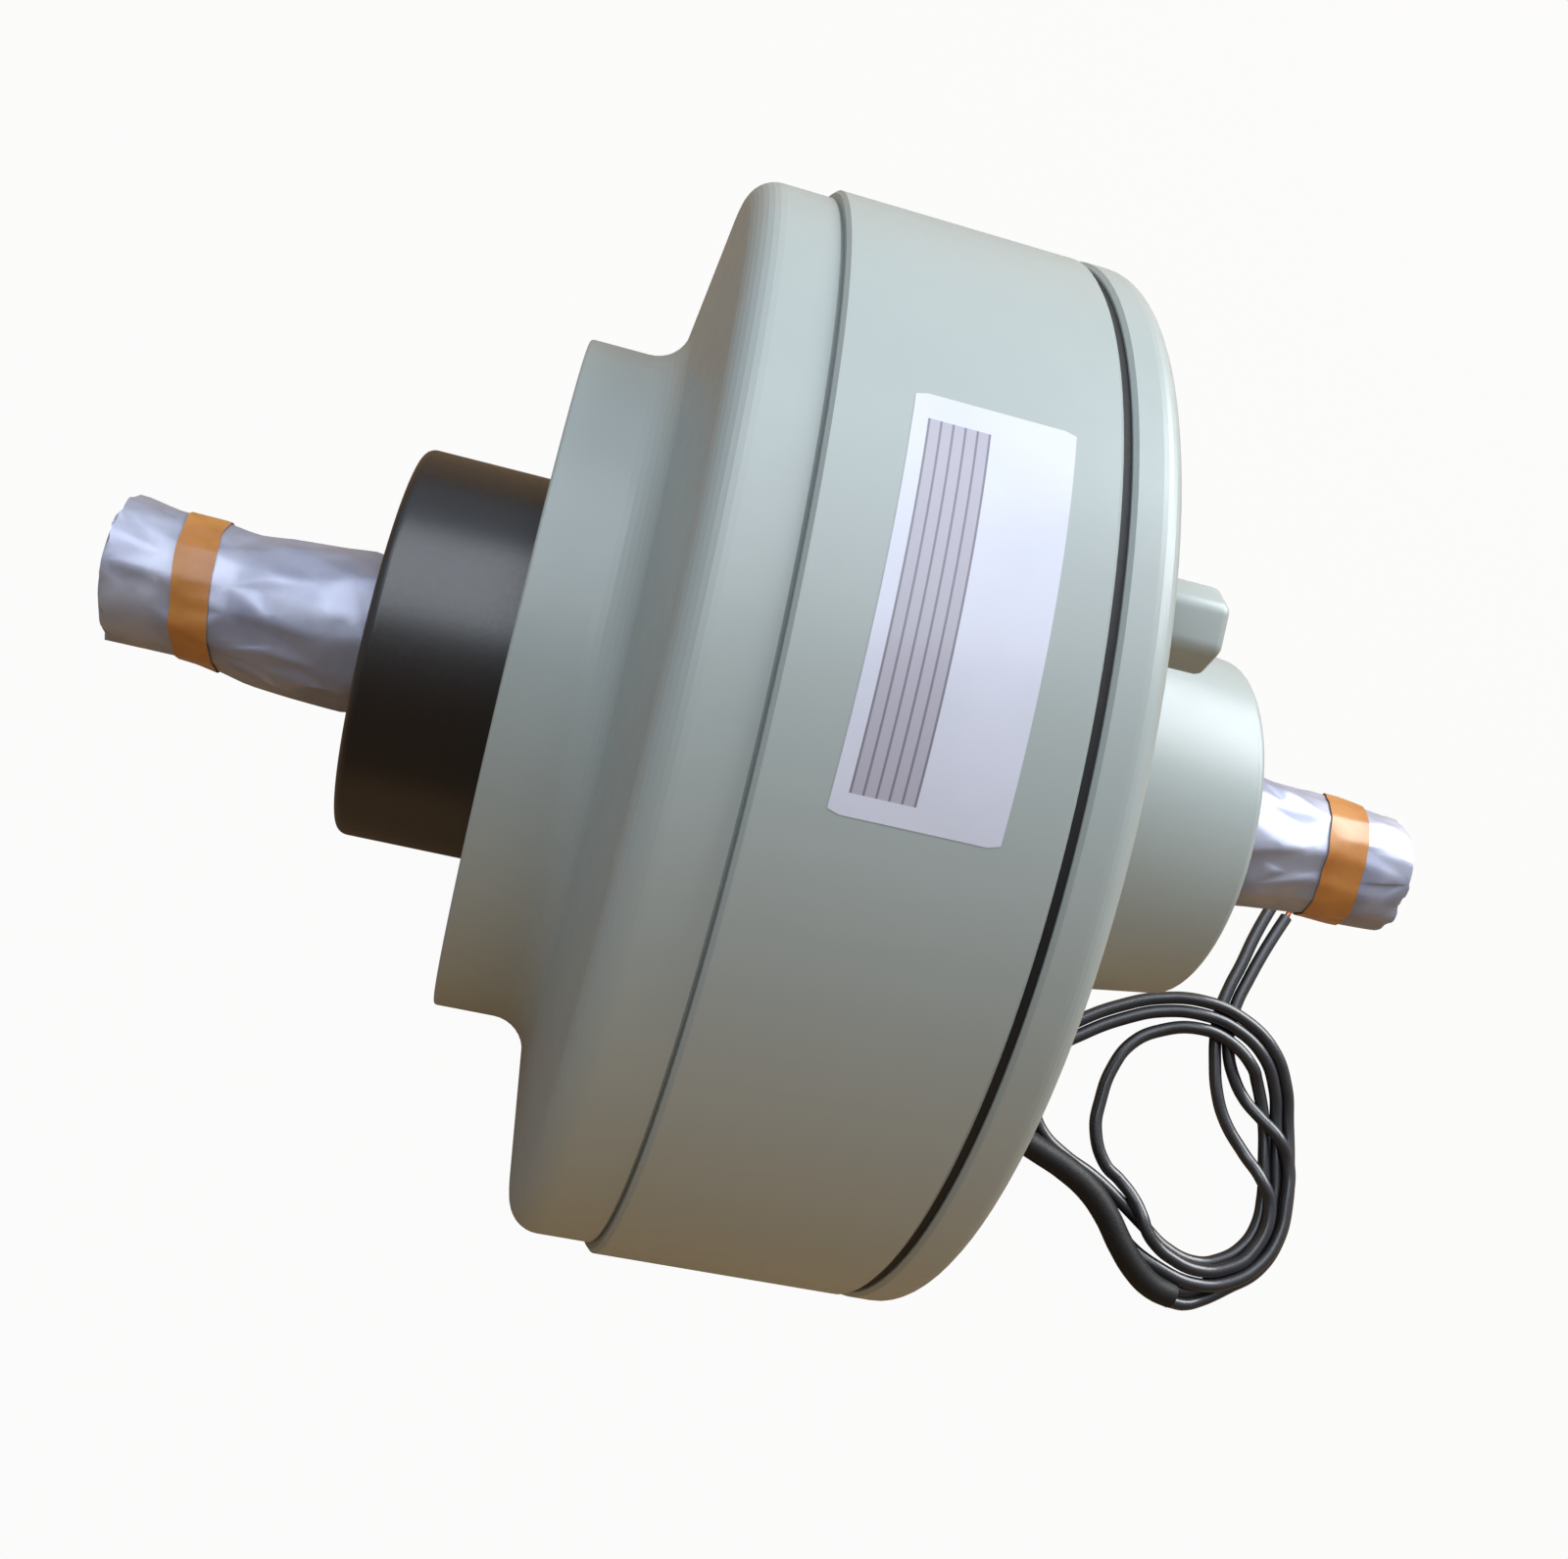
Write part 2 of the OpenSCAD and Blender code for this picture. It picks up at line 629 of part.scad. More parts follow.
module input_shaft() {
    x0 = x_tip_in + foil_t;
    step_x = x_nose + 1;
    color(steel) difference() {
        turned([
            [x0, 0], [x0, shaft_r - 1], [x0 + 1, shaft_r], [step_x, shaft_r], [step_x, journal_r],
            [x_in_clip, journal_r], [x_in_clip, journal_r - clip_depth],
            [x_in_a, journal_r - clip_depth], [x_in_a, journal_r],
            [x_in_b + bearing_w, journal_r], [x_in_b + bearing_w, collar_r],
            [x_flange, collar_r], [x_flange, cylinder_r], [x_cylinder, cylinder_r],
            [x_cylinder, pilot_out_r + 6], [x_hub_end, pilot_out_r + 6], [x_hub_end, pilot_out_r],
            [x_pilot, pilot_out_r], [x_pilot, 0]]);
        key_box(x0 - 1, key_l + 1, key_w, shaft_r - key_depth, shaft_r + 2);
        around(drive_count, drive_pitch_r) {
            rod(x_flange - 1, x_cylinder + 1, drive_screw_r + 0.3);
            rod(x_flange - 1, x_flange + drive_head_l + fit_gap, drive_head_r + 0.2);
        }
    }
}

module input_bearing_inners() {
    color(steel) for (x = [x_in_a, x_in_b])
        race(x, bearing_w, journal_r, main_pitch_r - main_land, main_pitch_r, main_ball_r);
}

module input_bearing_balls() {
    color(steel) for (x = [x_in_a, x_in_b])
        balls(x, bearing_w, main_pitch_r, main_ball_r, main_balls);
}

module input_spacer() {
    color(steel) ring(x_in_a + bearing_w, x_in_b, journal_r, journal_r + clip_wall);
}

module input_shaft_clip() {
    color(steel) clip(x_in_clip, journal_r - clip_depth, journal_r + clip_wall - clip_depth);
}

module drive_cylinder() {
    color([0.55, 0.56, 0.58]) difference() {
        ring(x_cylinder, x_end_plate, chamber_r, cylinder_r);
        around(drive_count, drive_pitch_r) {
            rod(x_cylinder - 1, x_cylinder + drive_thread_l + 1, drive_screw_r);
            rod(x_end_plate - drive_thread_l - 1, x_end_plate + 1, drive_screw_r);
        }
    }
}

module drive_end_plate() {
    x1 = x_end_plate + end_plate_t;
    color([0.6, 0.61, 0.63]) difference() {
        ring(x_end_plate, x1, collar_r + air_gap, cylinder_r);
        around(drive_count, drive_pitch_r) {
            rod(x_end_plate - 1, x1 + 1, drive_screw_r + 0.3);
            rod(x1 - drive_head_l - fit_gap, x1 + 1, drive_head_r + 0.2);
        }
    }
}

module drive_screws() {
    x1 = x_end_plate + end_plate_t;
    color([0.3, 0.3, 0.32]) around(drive_count, drive_pitch_r) {
        rod(x_flange + fit_gap, x_flange + drive_head_l, drive_head_r);
        rod(x_flange + drive_head_l, x_cylinder + drive_thread_l, drive_screw_r);
        rod(x1 - drive_head_l, x1 - fit_gap, drive_head_r);
        rod(x_end_plate - drive_thread_l, x1 - drive_head_l, drive_screw_r);
    }
}

// The powder, as it is thrown out against the drive cylinder
module powder_ring() {
    clear = 0.35;
    color([0.2, 0.2, 0.22]) ring(x_rotor + 1, x_rotor_end - 1, rotor_r + clear, chamber_r);
}

module pilot_outer() {
    color(steel) race(x_pilot, pilot_w, pilot_out_r, pilot_pitch_r + pilot_land,
        pilot_pitch_r, pilot_ball_r);
}

// Foil sleeve on a shaft's end; it is closed over the tip
module foil(tip_x, length, shape, way) {
    color([0.78, 0.8, 0.85]) turned(concat(
        [[tip_x, 0], [tip_x, shaft_r - 0.6]],
        [for (p = shape) [tip_x + way * length * p[0], shaft_r + p[1]]],
        [[tip_x + way * length, shaft_r], [tip_x + way * (foil_t + 1), shaft_r],
        [tip_x + way * foil_t, shaft_r - 1], [tip_x + way * foil_t, 0]]));
}

module tape(x, width, r) {
    color([0.9, 0.55, 0.2]) ring(x - width / 2, x + width / 2, r, r + tape_t);
}

module input_foil() {
    foil(x_tip_in, in_foil_l, in_foil_shape, 1);
}

module input_tape() {
    tape(x_tip_in + in_foil_l * in_tape_share, in_tape_w, shaft_r + in_foil_shape[2][1]);
}

// ---- Output side: what turns with the output shaft ----

module output_shaft() {
    x1 = x_tip_out - foil_t;
    x0 = x_pilot + 0.5;
    step_x = x_boss_end - 1;
    groove_x = x_rotor - clip_w;
    color(steel) difference() {
        turned([
            [x0, 0], [x0, pilot_r - 0.5], [x0 + 0.5, pilot_r], [x_pilot + pilot_w, pilot_r],
            [x_pilot + pilot_w, pilot_r + pilot_step_r], [groove_x - 1, pilot_r + pilot_step_r],
            [groove_x - 1, rotor_seat_r], [groove_x, rotor_seat_r],
            [groove_x, rotor_seat_r - clip_depth], [x_rotor, rotor_seat_r - clip_depth],
            [x_rotor, rotor_seat_r], [x_rotor_end, rotor_seat_r], [x_rotor_end, collar_r],
            [x_out_a, collar_r], [x_out_a, journal_r], [x_out_clip, journal_r],
            [x_out_clip, journal_r - clip_depth], [x_out_clip + clip_w, journal_r - clip_depth],
            [x_out_clip + clip_w, journal_r], [step_x, journal_r], [step_x, shaft_r],
            [x1 - 1, shaft_r], [x1, shaft_r - 1], [x1, 0]]);
        key_box(x1 - key_l, key_l + 1, key_w, shaft_r - key_depth, shaft_r + 2);
        key_box(x_mid - rotor_key_l / 2, rotor_key_l, rotor_key_w,
            rotor_seat_r - rotor_key_sink, rotor_seat_r + 1);
    }
}

module output_bearing_inners() {
    color(steel) for (x = [x_out_a, x_out_b])
        race(x, bearing_w, journal_r, main_pitch_r - main_land, main_pitch_r, main_ball_r);
}

module output_bearing_balls() {
    color(steel) for (x = [x_out_a, x_out_b])
        balls(x, bearing_w, main_pitch_r, main_ball_r, main_balls);
}

module output_spacer() {
    color(steel) ring(x_out_a + bearing_w, x_out_b, journal_r, journal_r + clip_wall);
}

module output_shaft_clip() {
    color(steel) clip(x_out_clip, journal_r - clip_depth, journal_r + clip_wall - clip_depth);
}

module driven_rotor() {
    hub_r = rotor_seat_r + 10;
    rim_in_r = rotor_r - 8;
    web = rotor_w * 0.18;
    color([0.5, 0.51, 0.53]) difference() {
        turned([
            [x_rotor, rotor_seat_r], [x_rotor, hub_r], [x_mid - web, hub_r],
            [x_mid - web, rim_in_r], [x_rotor, rim_in_r], [x_rotor, rotor_r],
            [x_rotor_end, rotor_r], [x_rotor_end, rim_in_r], [x_mid + web, rim_in_r],
            [x_mid + web, hub_r], [x_rotor_end, hub_r], [x_rotor_end, rotor_seat_r]]);
        key_box(x_rotor - 1, rotor_w + 2, rotor_key_w, 0,
            rotor_seat_r - rotor_key_sink + rotor_key_h);
        around(6, (hub_r + rim_in_r) / 2, 30) rod(x_mid - web - 1, x_mid + web + 1, 6);
    }
}

module rotor_key() {
    low = rotor_seat_r - rotor_key_sink;
    color([0.6, 0.6, 0.62])
        key_box(x_mid - rotor_key_l / 2, rotor_key_l, rotor_key_w, low, low + rotor_key_h);
}

module rotor_clip() {
    color(steel) clip(x_rotor - clip_w, rotor_seat_r - clip_depth, rotor_seat_r + 2);
}

module pilot_inner() {
    color(steel) race(x_pilot, pilot_w, pilot_r, pilot_pitch_r - pilot_land,
        pilot_pitch_r, pilot_ball_r);
}

module pilot_balls() {
    color(steel) balls(x_pilot, pilot_w, pilot_pitch_r, pilot_ball_r, pilot_balls_count);
}

module output_foil() {
    foil(x_tip_out, out_foil_l, out_foil_shape, -1);
}

module output_tape() {
    tape(x_tip_out - out_foil_l * out_tape_share, out_tape_w, shaft_r + out_foil_shape[2][1]);
}

front_bracket();
bearing_nose();
yoke();
pole_ring();
rear_bracket();
seam_ring();
coil_bobbin();
coil_winding();
tie_bolts();
nose_screws();
input_bearing_outers();
output_bearing_outers();
input_seal();
output_seal();
nose_clip();
rear_clip();
filler_plug();
plug_washer();
lead_grommet();
lead_sleeve();
lead_coil();
lead_tail_a();
lead_tail_b();
input_shaft();
input_bearing_inners();
input_bearing_balls();
input_spacer();
input_shaft_clip();
drive_cylinder();
drive_end_plate();
drive_screws();
powder_ring();
pilot_outer();
input_foil();
input_tape();
output_shaft();
output_bearing_inners();
output_bearing_balls();
output_spacer();
output_shaft_clip();
driven_rotor();
rotor_key();
rotor_clip();
pilot_inner();
pilot_balls();
output_foil();
output_tape();
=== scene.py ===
"""Looks of a two-shaft powder clutch: camera, leads, painted body, nose, label, wraps, inside."""

import math

import bmesh
import bpy
from mathutils import Matrix, Vector, noise
from mathutils.bvhtree import BVHTree


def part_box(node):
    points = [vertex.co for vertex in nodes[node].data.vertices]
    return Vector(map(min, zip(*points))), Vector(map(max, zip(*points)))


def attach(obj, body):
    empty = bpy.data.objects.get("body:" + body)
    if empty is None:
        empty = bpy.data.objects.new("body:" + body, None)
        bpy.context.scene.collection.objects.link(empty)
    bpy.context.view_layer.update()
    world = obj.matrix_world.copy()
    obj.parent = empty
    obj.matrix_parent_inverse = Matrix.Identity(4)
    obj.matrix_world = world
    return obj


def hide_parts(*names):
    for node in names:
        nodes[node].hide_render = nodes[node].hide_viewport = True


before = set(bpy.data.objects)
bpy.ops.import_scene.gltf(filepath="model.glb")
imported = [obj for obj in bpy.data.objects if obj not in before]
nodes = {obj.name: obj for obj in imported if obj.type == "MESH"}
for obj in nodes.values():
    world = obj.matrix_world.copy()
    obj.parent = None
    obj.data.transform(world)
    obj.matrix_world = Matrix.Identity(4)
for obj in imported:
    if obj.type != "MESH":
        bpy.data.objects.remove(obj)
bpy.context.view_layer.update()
mm = 0.001
body_axis_z = 91 * mm       # the shafts' height over the table

# ---- Camera -------------------------------------------------------------------------------
# The picture was taken from above the clutch, which lies on its round side, turned so that the
# nose is at the left. The place, turn and lens come from the rims of the body, boss and nose.

photo_w, photo_h = 1568, 1559
photo_long = max(photo_w, photo_h)
camera_place = (-43.21 * mm, -73.509 * mm, 365.341 * mm)
camera_turn = (13.98933, -13.3104, 10.18926)
lens, sensor = 37.12523, 36.0
shift_x, shift_y = -0.04002, -0.04549

image_points = {
    "part_left": (94, None), "part_right": (1414, None),
    "part_top": (None, 183), "part_bottom": (None, 1300),
    "nose_left": (333, None), "nose_bottom": (None, 831),
    "front_boss_left": (434, None), "rear_boss_right": (1262, None),
    "seam_right": (1131, None), "seam_bottom": (None, 1292),
    "plug": (1194, 624), "label": (953, 619),
    "input_tape": (203, 593), "output_tape": (1335, 862),
}

camera = bpy.data.objects.new("camera", bpy.data.cameras.new("camera"))
bpy.context.scene.collection.objects.link(camera)
camera.location = camera_place
camera.rotation_euler = [math.radians(a) for a in camera_turn]
camera.data.lens, camera.data.sensor_width = lens, sensor
camera.data.sensor_fit = "AUTO"
camera.data.shift_x, camera.data.shift_y = shift_x, shift_y
camera.data.clip_start, camera.data.clip_end = 0.01, 20
bpy.context.scene.camera = camera
bpy.context.view_layer.update()


def sight(x, y):
    """The camera's place and the direction in which it sees a point of the photograph."""
    turn = camera.matrix_world.to_3x3()
    ray = Vector((x - photo_w / 2 + shift_x * photo_long,
                  photo_h / 2 - y + shift_y * photo_long,
                  -photo_long * lens / sensor))
    return camera.matrix_world.translation.copy(), (turn @ ray).normalized()


def seen_at(place):
    """Where the camera shows a place of the frame, in the photograph's points."""
    p = camera.matrix_world.inverted() @ Vector(place)
    scale = -photo_long * lens / sensor / p.z
    return (p.x * scale + photo_w / 2 - shift_x * photo_long,
            photo_h / 2 + shift_y * photo_long - p.y * scale)


def finished_tree(pieces):
    """One search tree over the finished faces of these pieces, where they stand."""
    ready = bpy.context.evaluated_depsgraph_get()
    places, faces = [], []
    for piece in pieces:
        shape = piece.evaluated_get(ready)
        mesh = shape.to_mesh()
        first = len(places)
        places += [piece.matrix_world @ v.co for v in mesh.vertices]
        faces += [[first + i for i in f.vertices] for f in mesh.polygons]
        shape.to_mesh_clear()
    return BVHTree.FromPolygons(places, faces), places


def place_on(carriers, x, y):
    """The place on the carriers that the photograph's point x, y shows, and its normal."""
    tree, places = finished_tree(carriers)
    start, way = sight(x, y)
    place, normal = tree.ray_cast(start, way)[:2]
    if place is None:
        near = min(places, key=lambda p: ((p - start) - way * (p - start).dot(way)).length)
        place, normal = tree.find_nearest(near)[:2]
    return place, normal


def finish_group(name, inputs, outputs):
    """An empty node group with named sockets, for an effect that several materials use."""
    group = bpy.data.node_groups.new(name, "ShaderNodeTree")
    for label, kind, value in inputs:
        socket = group.interface.new_socket(label, in_out="INPUT", socket_type=kind)
        socket.default_value = value
    for label, kind in outputs:
        group.interface.new_socket(label, in_out="OUTPUT", socket_type=kind)
    return group, group.nodes.new("NodeGroupInput"), group.nodes.new("NodeGroupOutput")


def shade(r, g, b):
    """A colour read from the photograph, 0 to 255, as Blender's linear colour."""
    part = [c / 255 for c in (r, g, b)]
    return tuple(c / 12.92 if c < 0.04045 else ((c + 0.055) / 1.055) ** 2.4 for c in part) + (1,)


# Every real surface is a little uneven: its colour drifts over centimetres, and a fine grain
# breaks up its shine. The group below gives both, and each material sets its own sizes.
uneven, given, out = finish_group(
    "uneven_surface",
    [("Colour", "NodeSocketColor", (0.5, 0.5, 0.5, 1)),
     ("Second Colour", "NodeSocketColor", (0.4, 0.4, 0.4, 1)),
     ("Drift Scale", "NodeSocketFloat", 20), ("Grain Scale", "NodeSocketFloat", 900),
     ("Smoothest", "NodeSocketFloat", 0.3), ("Roughest", "NodeSocketFloat", 0.5),
     ("Grain Depth", "NodeSocketFloat", 0.00005)],
    [("Colour", "NodeSocketColor"), ("Roughness", "NodeSocketFloat"),
     ("Normal", "NodeSocketVector"), ("Drift", "NodeSocketFloat")])
n, join = uneven.nodes, uneven.links.new
place = n.new("ShaderNodeTexCoord")
drift, grain = n.new("ShaderNodeTexNoise"), n.new("ShaderNodeTexNoise")
drift.inputs["Detail"].default_value, grain.inputs["Detail"].default_value = 4, 3
blend, spread, bump = (n.new("ShaderNodeMix"), n.new("ShaderNodeMapRange"),
                       n.new("ShaderNodeBump"))
blend.data_type = "RGBA"
steeper = n.new("ShaderNodeMapRange")
steeper.inputs["From Min"].default_value, steeper.inputs["From Max"].default_value = 0.3, 0.7
bump.inputs["Strength"].default_value = 1.0
join(place.outputs["Object"], drift.inputs["Vector"])
join(place.outputs["Object"], grain.inputs["Vector"])
join(given.outputs["Drift Scale"], drift.inputs["Scale"])
join(given.outputs["Grain Scale"], grain.inputs["Scale"])
join(drift.outputs["Fac"], steeper.inputs["Value"])
join(steeper.outputs["Result"], blend.inputs["Factor"])
join(given.outputs["Colour"], blend.inputs[6])
join(given.outputs["Second Colour"], blend.inputs[7])
join(grain.outputs["Fac"], spread.inputs["Value"])
join(given.outputs["Smoothest"], spread.inputs["To Min"])
join(given.outputs["Roughest"], spread.inputs["To Max"])
join(grain.outputs["Fac"], bump.inputs["Height"])
join(given.outputs["Grain Depth"], bump.inputs["Distance"])
join(blend.outputs[2], out.inputs["Colour"])
join(spread.outputs["Result"], out.inputs["Roughness"])
join(bump.outputs["Normal"], out.inputs["Normal"])
join(steeper.outputs["Result"], out.inputs["Drift"])


def material(name, colour, second, metal=0.0, smooth=0.3, rough=0.5, drift=20, grain=900,
             depth=0.05, coat=0.0, coat_rough=0.1, specular=0.5):
    """A material with the uneven surface on it. Grain depth is in millimetres."""
    made = bpy.data.materials.new(name)
    made.use_nodes = True
    shader = made.node_tree.nodes["Principled BSDF"]
    surface = made.node_tree.nodes.new("ShaderNodeGroup")
    surface.node_tree = uneven
    for label, value in (("Colour", shade(*colour)), ("Second Colour", shade(*second)),
                         ("Drift Scale", drift), ("Grain Scale", grain),
                         ("Smoothest", smooth), ("Roughest", rough),
                         ("Grain Depth", depth * mm)):
        surface.inputs[label].default_value = value
    join = made.node_tree.links.new
    join(surface.outputs["Colour"], shader.inputs["Base Color"])
    join(surface.outputs["Roughness"], shader.inputs["Roughness"])
    join(surface.outputs["Normal"], shader.inputs["Normal"])
    shader.inputs["Metallic"].default_value = metal
    shader.inputs["Coat Weight"].default_value = coat
    shader.inputs["Coat Roughness"].default_value = coat_rough
    shader.inputs["Specular IOR Level"].default_value = specular
    return made


def dress(piece, finish):
    """Gives a piece one finish all over."""
    if len(piece.material_slots) == 0:
        piece.data.materials.append(finish)
    for held in piece.material_slots:
        held.material = finish


# ---- Leads and sleeve ---------------------------------------------------------------------
# Two stranded leads in black insulation leave the coil through a grommet in the rear cover. A
# plastic sleeve holds both, falls to the table and ends at the front of a loose coil.

sleeve_bore, lead_thick = 6 * mm, 3 * mm
sleeve_route = [
    (34.9, -47.1, 40.5), (40.4, -47.1, 40.3), (45.9, -47.6, 38.2), (51.8, -48.6, 34),
    (57.8, -49.8, 28.2), (63.7, -51.2, 21.4), (69.7, -52.9, 16), (75.1, -54.4, 11),
    (79.5, -56.7, 7.8), (85.8, -59, 6.3), (92.5, -61.7, 6.2), (99, -65.5, 6.2), (104, -70.4, 6.2),
    (108.1, -75.9, 6), (112.6, -80.6, 5.3), (117.6, -83.7, 4.2), (122.7, -84.9, 3.1),
]
short_lead_route = [
    (122.7, -86.3, 3), (126.5, -86.4, 2.4), (130.6, -85.1, 1.6), (137.2, -81.3, 1.5),
    (144.3, -76.4, 1.5), (148.9, -68.8, 1.5), (150.3, -59.8, 1.5), (149.7, -50.7, 1.5),
    (148.6, -42.2, 1.5), (146.5, -33.9, 3), (141.4, -25.8, 4.5), (132.7, -20, 4.5),
    (122.7, -17.9, 4.1), (112.4, -19, 2.1), (103, -22.5, 1.5), (93.3, -27.9, 1.5),
    (85.2, -34.3, 1.5), (81.3, -42.8, 1.5), (81.8, -50.4, 1.5), (85.5, -56.7, 1.5),
    (92.3, -61.6, 1.5), (100.1, -65.1, 1.5), (106.4, -69.2, 1.5), (110.9, -74.8, 1.5),
    (118.8, -79.5, 3.6), (128.8, -81.7, 4.2), (136.5, -79.9, 4.2), (143.1, -75.3, 4.2),
    (147.4, -68.3, 4.2), (148.7, -59.8, 4.2), (148.1, -50.9, 4.2), (144.5, -45.8, 5),
    (140.7, -42.3, 3.3), (136.9, -38.6, 1.7), (133.7, -34.1, 1.5), (131.5, -28.4, 1.5),
    (131.1, -22.1, 1.5), (132.3, -16.2, 1.5), (134.6, -10.3, 1.5), (137.1, -4.5, 1.5),
    (139.9, 1.3, 1.5), (142.9, 7, 1.5),
]
long_lead_route = [
    (122.7, -83.4, 3), (126.3, -83.6, 2.3), (130.2, -82.4, 1.6), (135.8, -78.5, 1.5),
    (142, -74.2, 1.5), (145.9, -67.8, 1.5), (147.1, -59.8, 1.5), (146.5, -51, 1.5),
    (145.5, -42.6, 1.5), (143.6, -35, 3), (139.2, -28, 4.5), (131.5, -22.9, 4.5),
    (122.6, -21.1, 4.1), (113.1, -22, 2.1), (104.4, -25.3, 1.5), (94.9, -30.6, 1.5),
    (87.6, -36.3, 1.5), (84.4, -43.3, 1.5), (84.9, -49.4, 1.5), (87.7, -54.5, 1.5),
    (93.8, -58.8, 1.5), (101.5, -62.3, 1.5), (108.7, -66.7, 1.5), (115.3, -71.2, 1.5),
    (121, -75, 1.5), (128.9, -77, 1.5), (134.5, -75.6, 1.5), (139.8, -72, 1.5), (143, -66.8, 1.5),
    (144, -59.8, 1.5), (143.4, -51.3, 1.5), (142.4, -43.1, 1.5), (138.7, -33.6, 3),
    (136.7, -31.1, 4.5), (130.1, -26.1, 4.5), (122, -24.5, 4.1), (113.7, -26.4, 2.1),
    (106.9, -30.7, 1.5), (102.6, -37.8, 1.5), (100.9, -45, 1.5), (100.6, -51.7, 1.5),
    (104, -59.2, 1.5), (107.9, -62, 1.6), (111.3, -65.4, 2.7), (113.4, -69.1, 4.1),
    (115, -72.3, 4.4), (117.6, -74.8, 4.2), (121.1, -76.8, 4.2), (128.8, -78.6, 4.2),
    (135.2, -77.1, 4.2), (140.9, -73.1, 4.2), (144.5, -61.7, 4.7), (141.5, -56, 4.7),
    (137.7, -51, 2.4), (132.4, -44.2, 1.5), (129.6, -37.8, 1.5), (128.3, -30.9, 1.5),
    (127.8, -24.7, 1.5), (128.3, -18.6, 1.5), (130, -12.8, 1.5), (132.4, -6.9, 1.5),
    (134.9, 0.1, 1.5), (137.9, 7, 1.5), (140.9, 13, 1.5),
]


def lay_cord(name, route, thick, caps=True):
    """A round cord as one smooth open spline through the points of its route."""
    line = bpy.data.curves.new(name, "CURVE")
    line.dimensions = "3D"
    line.bevel_depth, line.bevel_resolution = thick / 2, 5
    line.resolution_u, line.use_fill_caps = 8, caps
    run = line.splines.new("BEZIER")
    run.bezier_points.add(len(route) - 1)
    for point, place in zip(run.bezier_points, route):
        point.co = [c * mm for c in place]
        point.handle_left_type = point.handle_right_type = "AUTO"
    cord = bpy.data.objects.new(name, line)
    bpy.context.scene.collection.objects.link(cord)
    return cord


insulation = material("lead_insulation", (30, 30, 33), (44, 43, 47), smooth=0.28, rough=0.42,
                      drift=60, grain=1400, depth=0.02, coat=0.4, specular=0.8)
sleeving = material("black_sleeve", (20, 18, 18), (30, 27, 26), smooth=0.45, rough=0.62,
                    drift=40, grain=1600, depth=0.05)
bright_copper = material("bare_copper", (196, 122, 84), (170, 98, 62), metal=1.0, smooth=0.25,
                         rough=0.4, drift=300, grain=3000, depth=0.02)

sleeve = lay_cord("sleeve_over_leads", sleeve_route, sleeve_bore)
short_lead = lay_cord("lead_short", short_lead_route, lead_thick)
long_lead = lay_cord("lead_long", long_lead_route, lead_thick)


def strand_tip(name, route):
    """The bared end of a lead: seven twisted wires, from the end of its insulation."""
    bare_long, bare_thick, bare_sunk = 7 * mm, 1.3 * mm, 0.5 * mm
    lay_turn, groove = math.pi * 1.4, 0.16
    end, before = Vector(route[-1]) * mm, Vector(route[-2]) * mm
    way = (end - before).normalized()
    bpy.ops.object.select_all(action="DESELECT")
    bpy.ops.mesh.primitive_cylinder_add(vertices=24, radius=bare_thick / 2, depth=bare_long)
    tip = bpy.context.object
    tip.name = tip.data.name = name
    bpy.ops.object.mode_set(mode="EDIT")
    shape = bmesh.from_edit_mesh(tip.data)
    for edge in shape.edges:
        edge.select = abs(edge.verts[0].co.z - edge.verts[1].co.z) > bare_long / 2
    bmesh.update_edit_mesh(tip.data)
    bpy.ops.mesh.subdivide(number_cuts=14)
    bpy.ops.object.mode_set(mode="OBJECT")
    for v in tip.data.vertices:
        around = math.atan2(v.co.y, v.co.x)
        lay = v.co.z / bare_long * lay_turn
        swell = 1 - groove + groove * abs(math.cos(3 * (around - lay)))
        v.co.x, v.co.y = v.co.x * swell, v.co.y * swell
    bevel = tip.modifiers.new("worn_end", "BEVEL")
    bevel.width, bevel.segments, bevel.limit_method = 0.12 * mm, 2, "ANGLE"
    bpy.ops.object.modifier_apply(modifier=bevel.name)
    tip.data.transform(way.to_track_quat("Z", "Y").to_matrix().to_4x4())
    tip.data.transform(Matrix.Translation(end + way * (bare_long / 2 - bare_sunk)))
    bpy.ops.object.shade_smooth()
    dress(tip, bright_copper)
    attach(tip, "housing")
    return tip


short_tip = strand_tip("lead_short_wires", short_lead_route)
long_tip = strand_tip("lead_long_wires", long_lead_route)
for cord, finish, slot in ((sleeve, sleeving, "black_sleeve"),
                           (short_lead, insulation, "lead_insulation"),
                           (long_lead, insulation, "lead_insulation")):
    dress(cord, finish)
    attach(cord, "housing")
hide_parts("lead_sleeve")
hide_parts("lead_tail_b")
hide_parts("lead_tail_a", "lead_coil")


# ---- Painted housing ----------------------------------------------------------------------
# Front bracket, yoke and rear bracket are iron castings, machined where they meet and sprayed
# together in a pale green-grey enamel. The hexagon plug in the rear cover was sprayed with them,
# and the paint rounds its edges. It is built again here, and takes its place and spin from the
# CAD's plug.

enamel = material("housing_enamel", (166, 174, 171), (158, 166, 163), smooth=0.3, rough=0.46,
                  drift=9, grain=260, depth=0.035, coat=0.12, coat_rough=0.26)
for name in ("front_bracket", "yoke", "rear_bracket"):
    dress(nodes[name], enamel)


low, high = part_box("filler_plug")
plug_y, plug_z = (low.y + high.y) / 2, (low.z + high.z) / 2
plug_long, plug_head, plug_stem = 12 * mm, 10.8 * mm, 6 * mm
plug_wider, plug_step, plug_paint = 1.05, 0.45, 1.5 * mm


def off_plug(place):
    """How far a place is from the plug's axis."""
    return math.hypot(place.y - plug_y, place.z - plug_z)


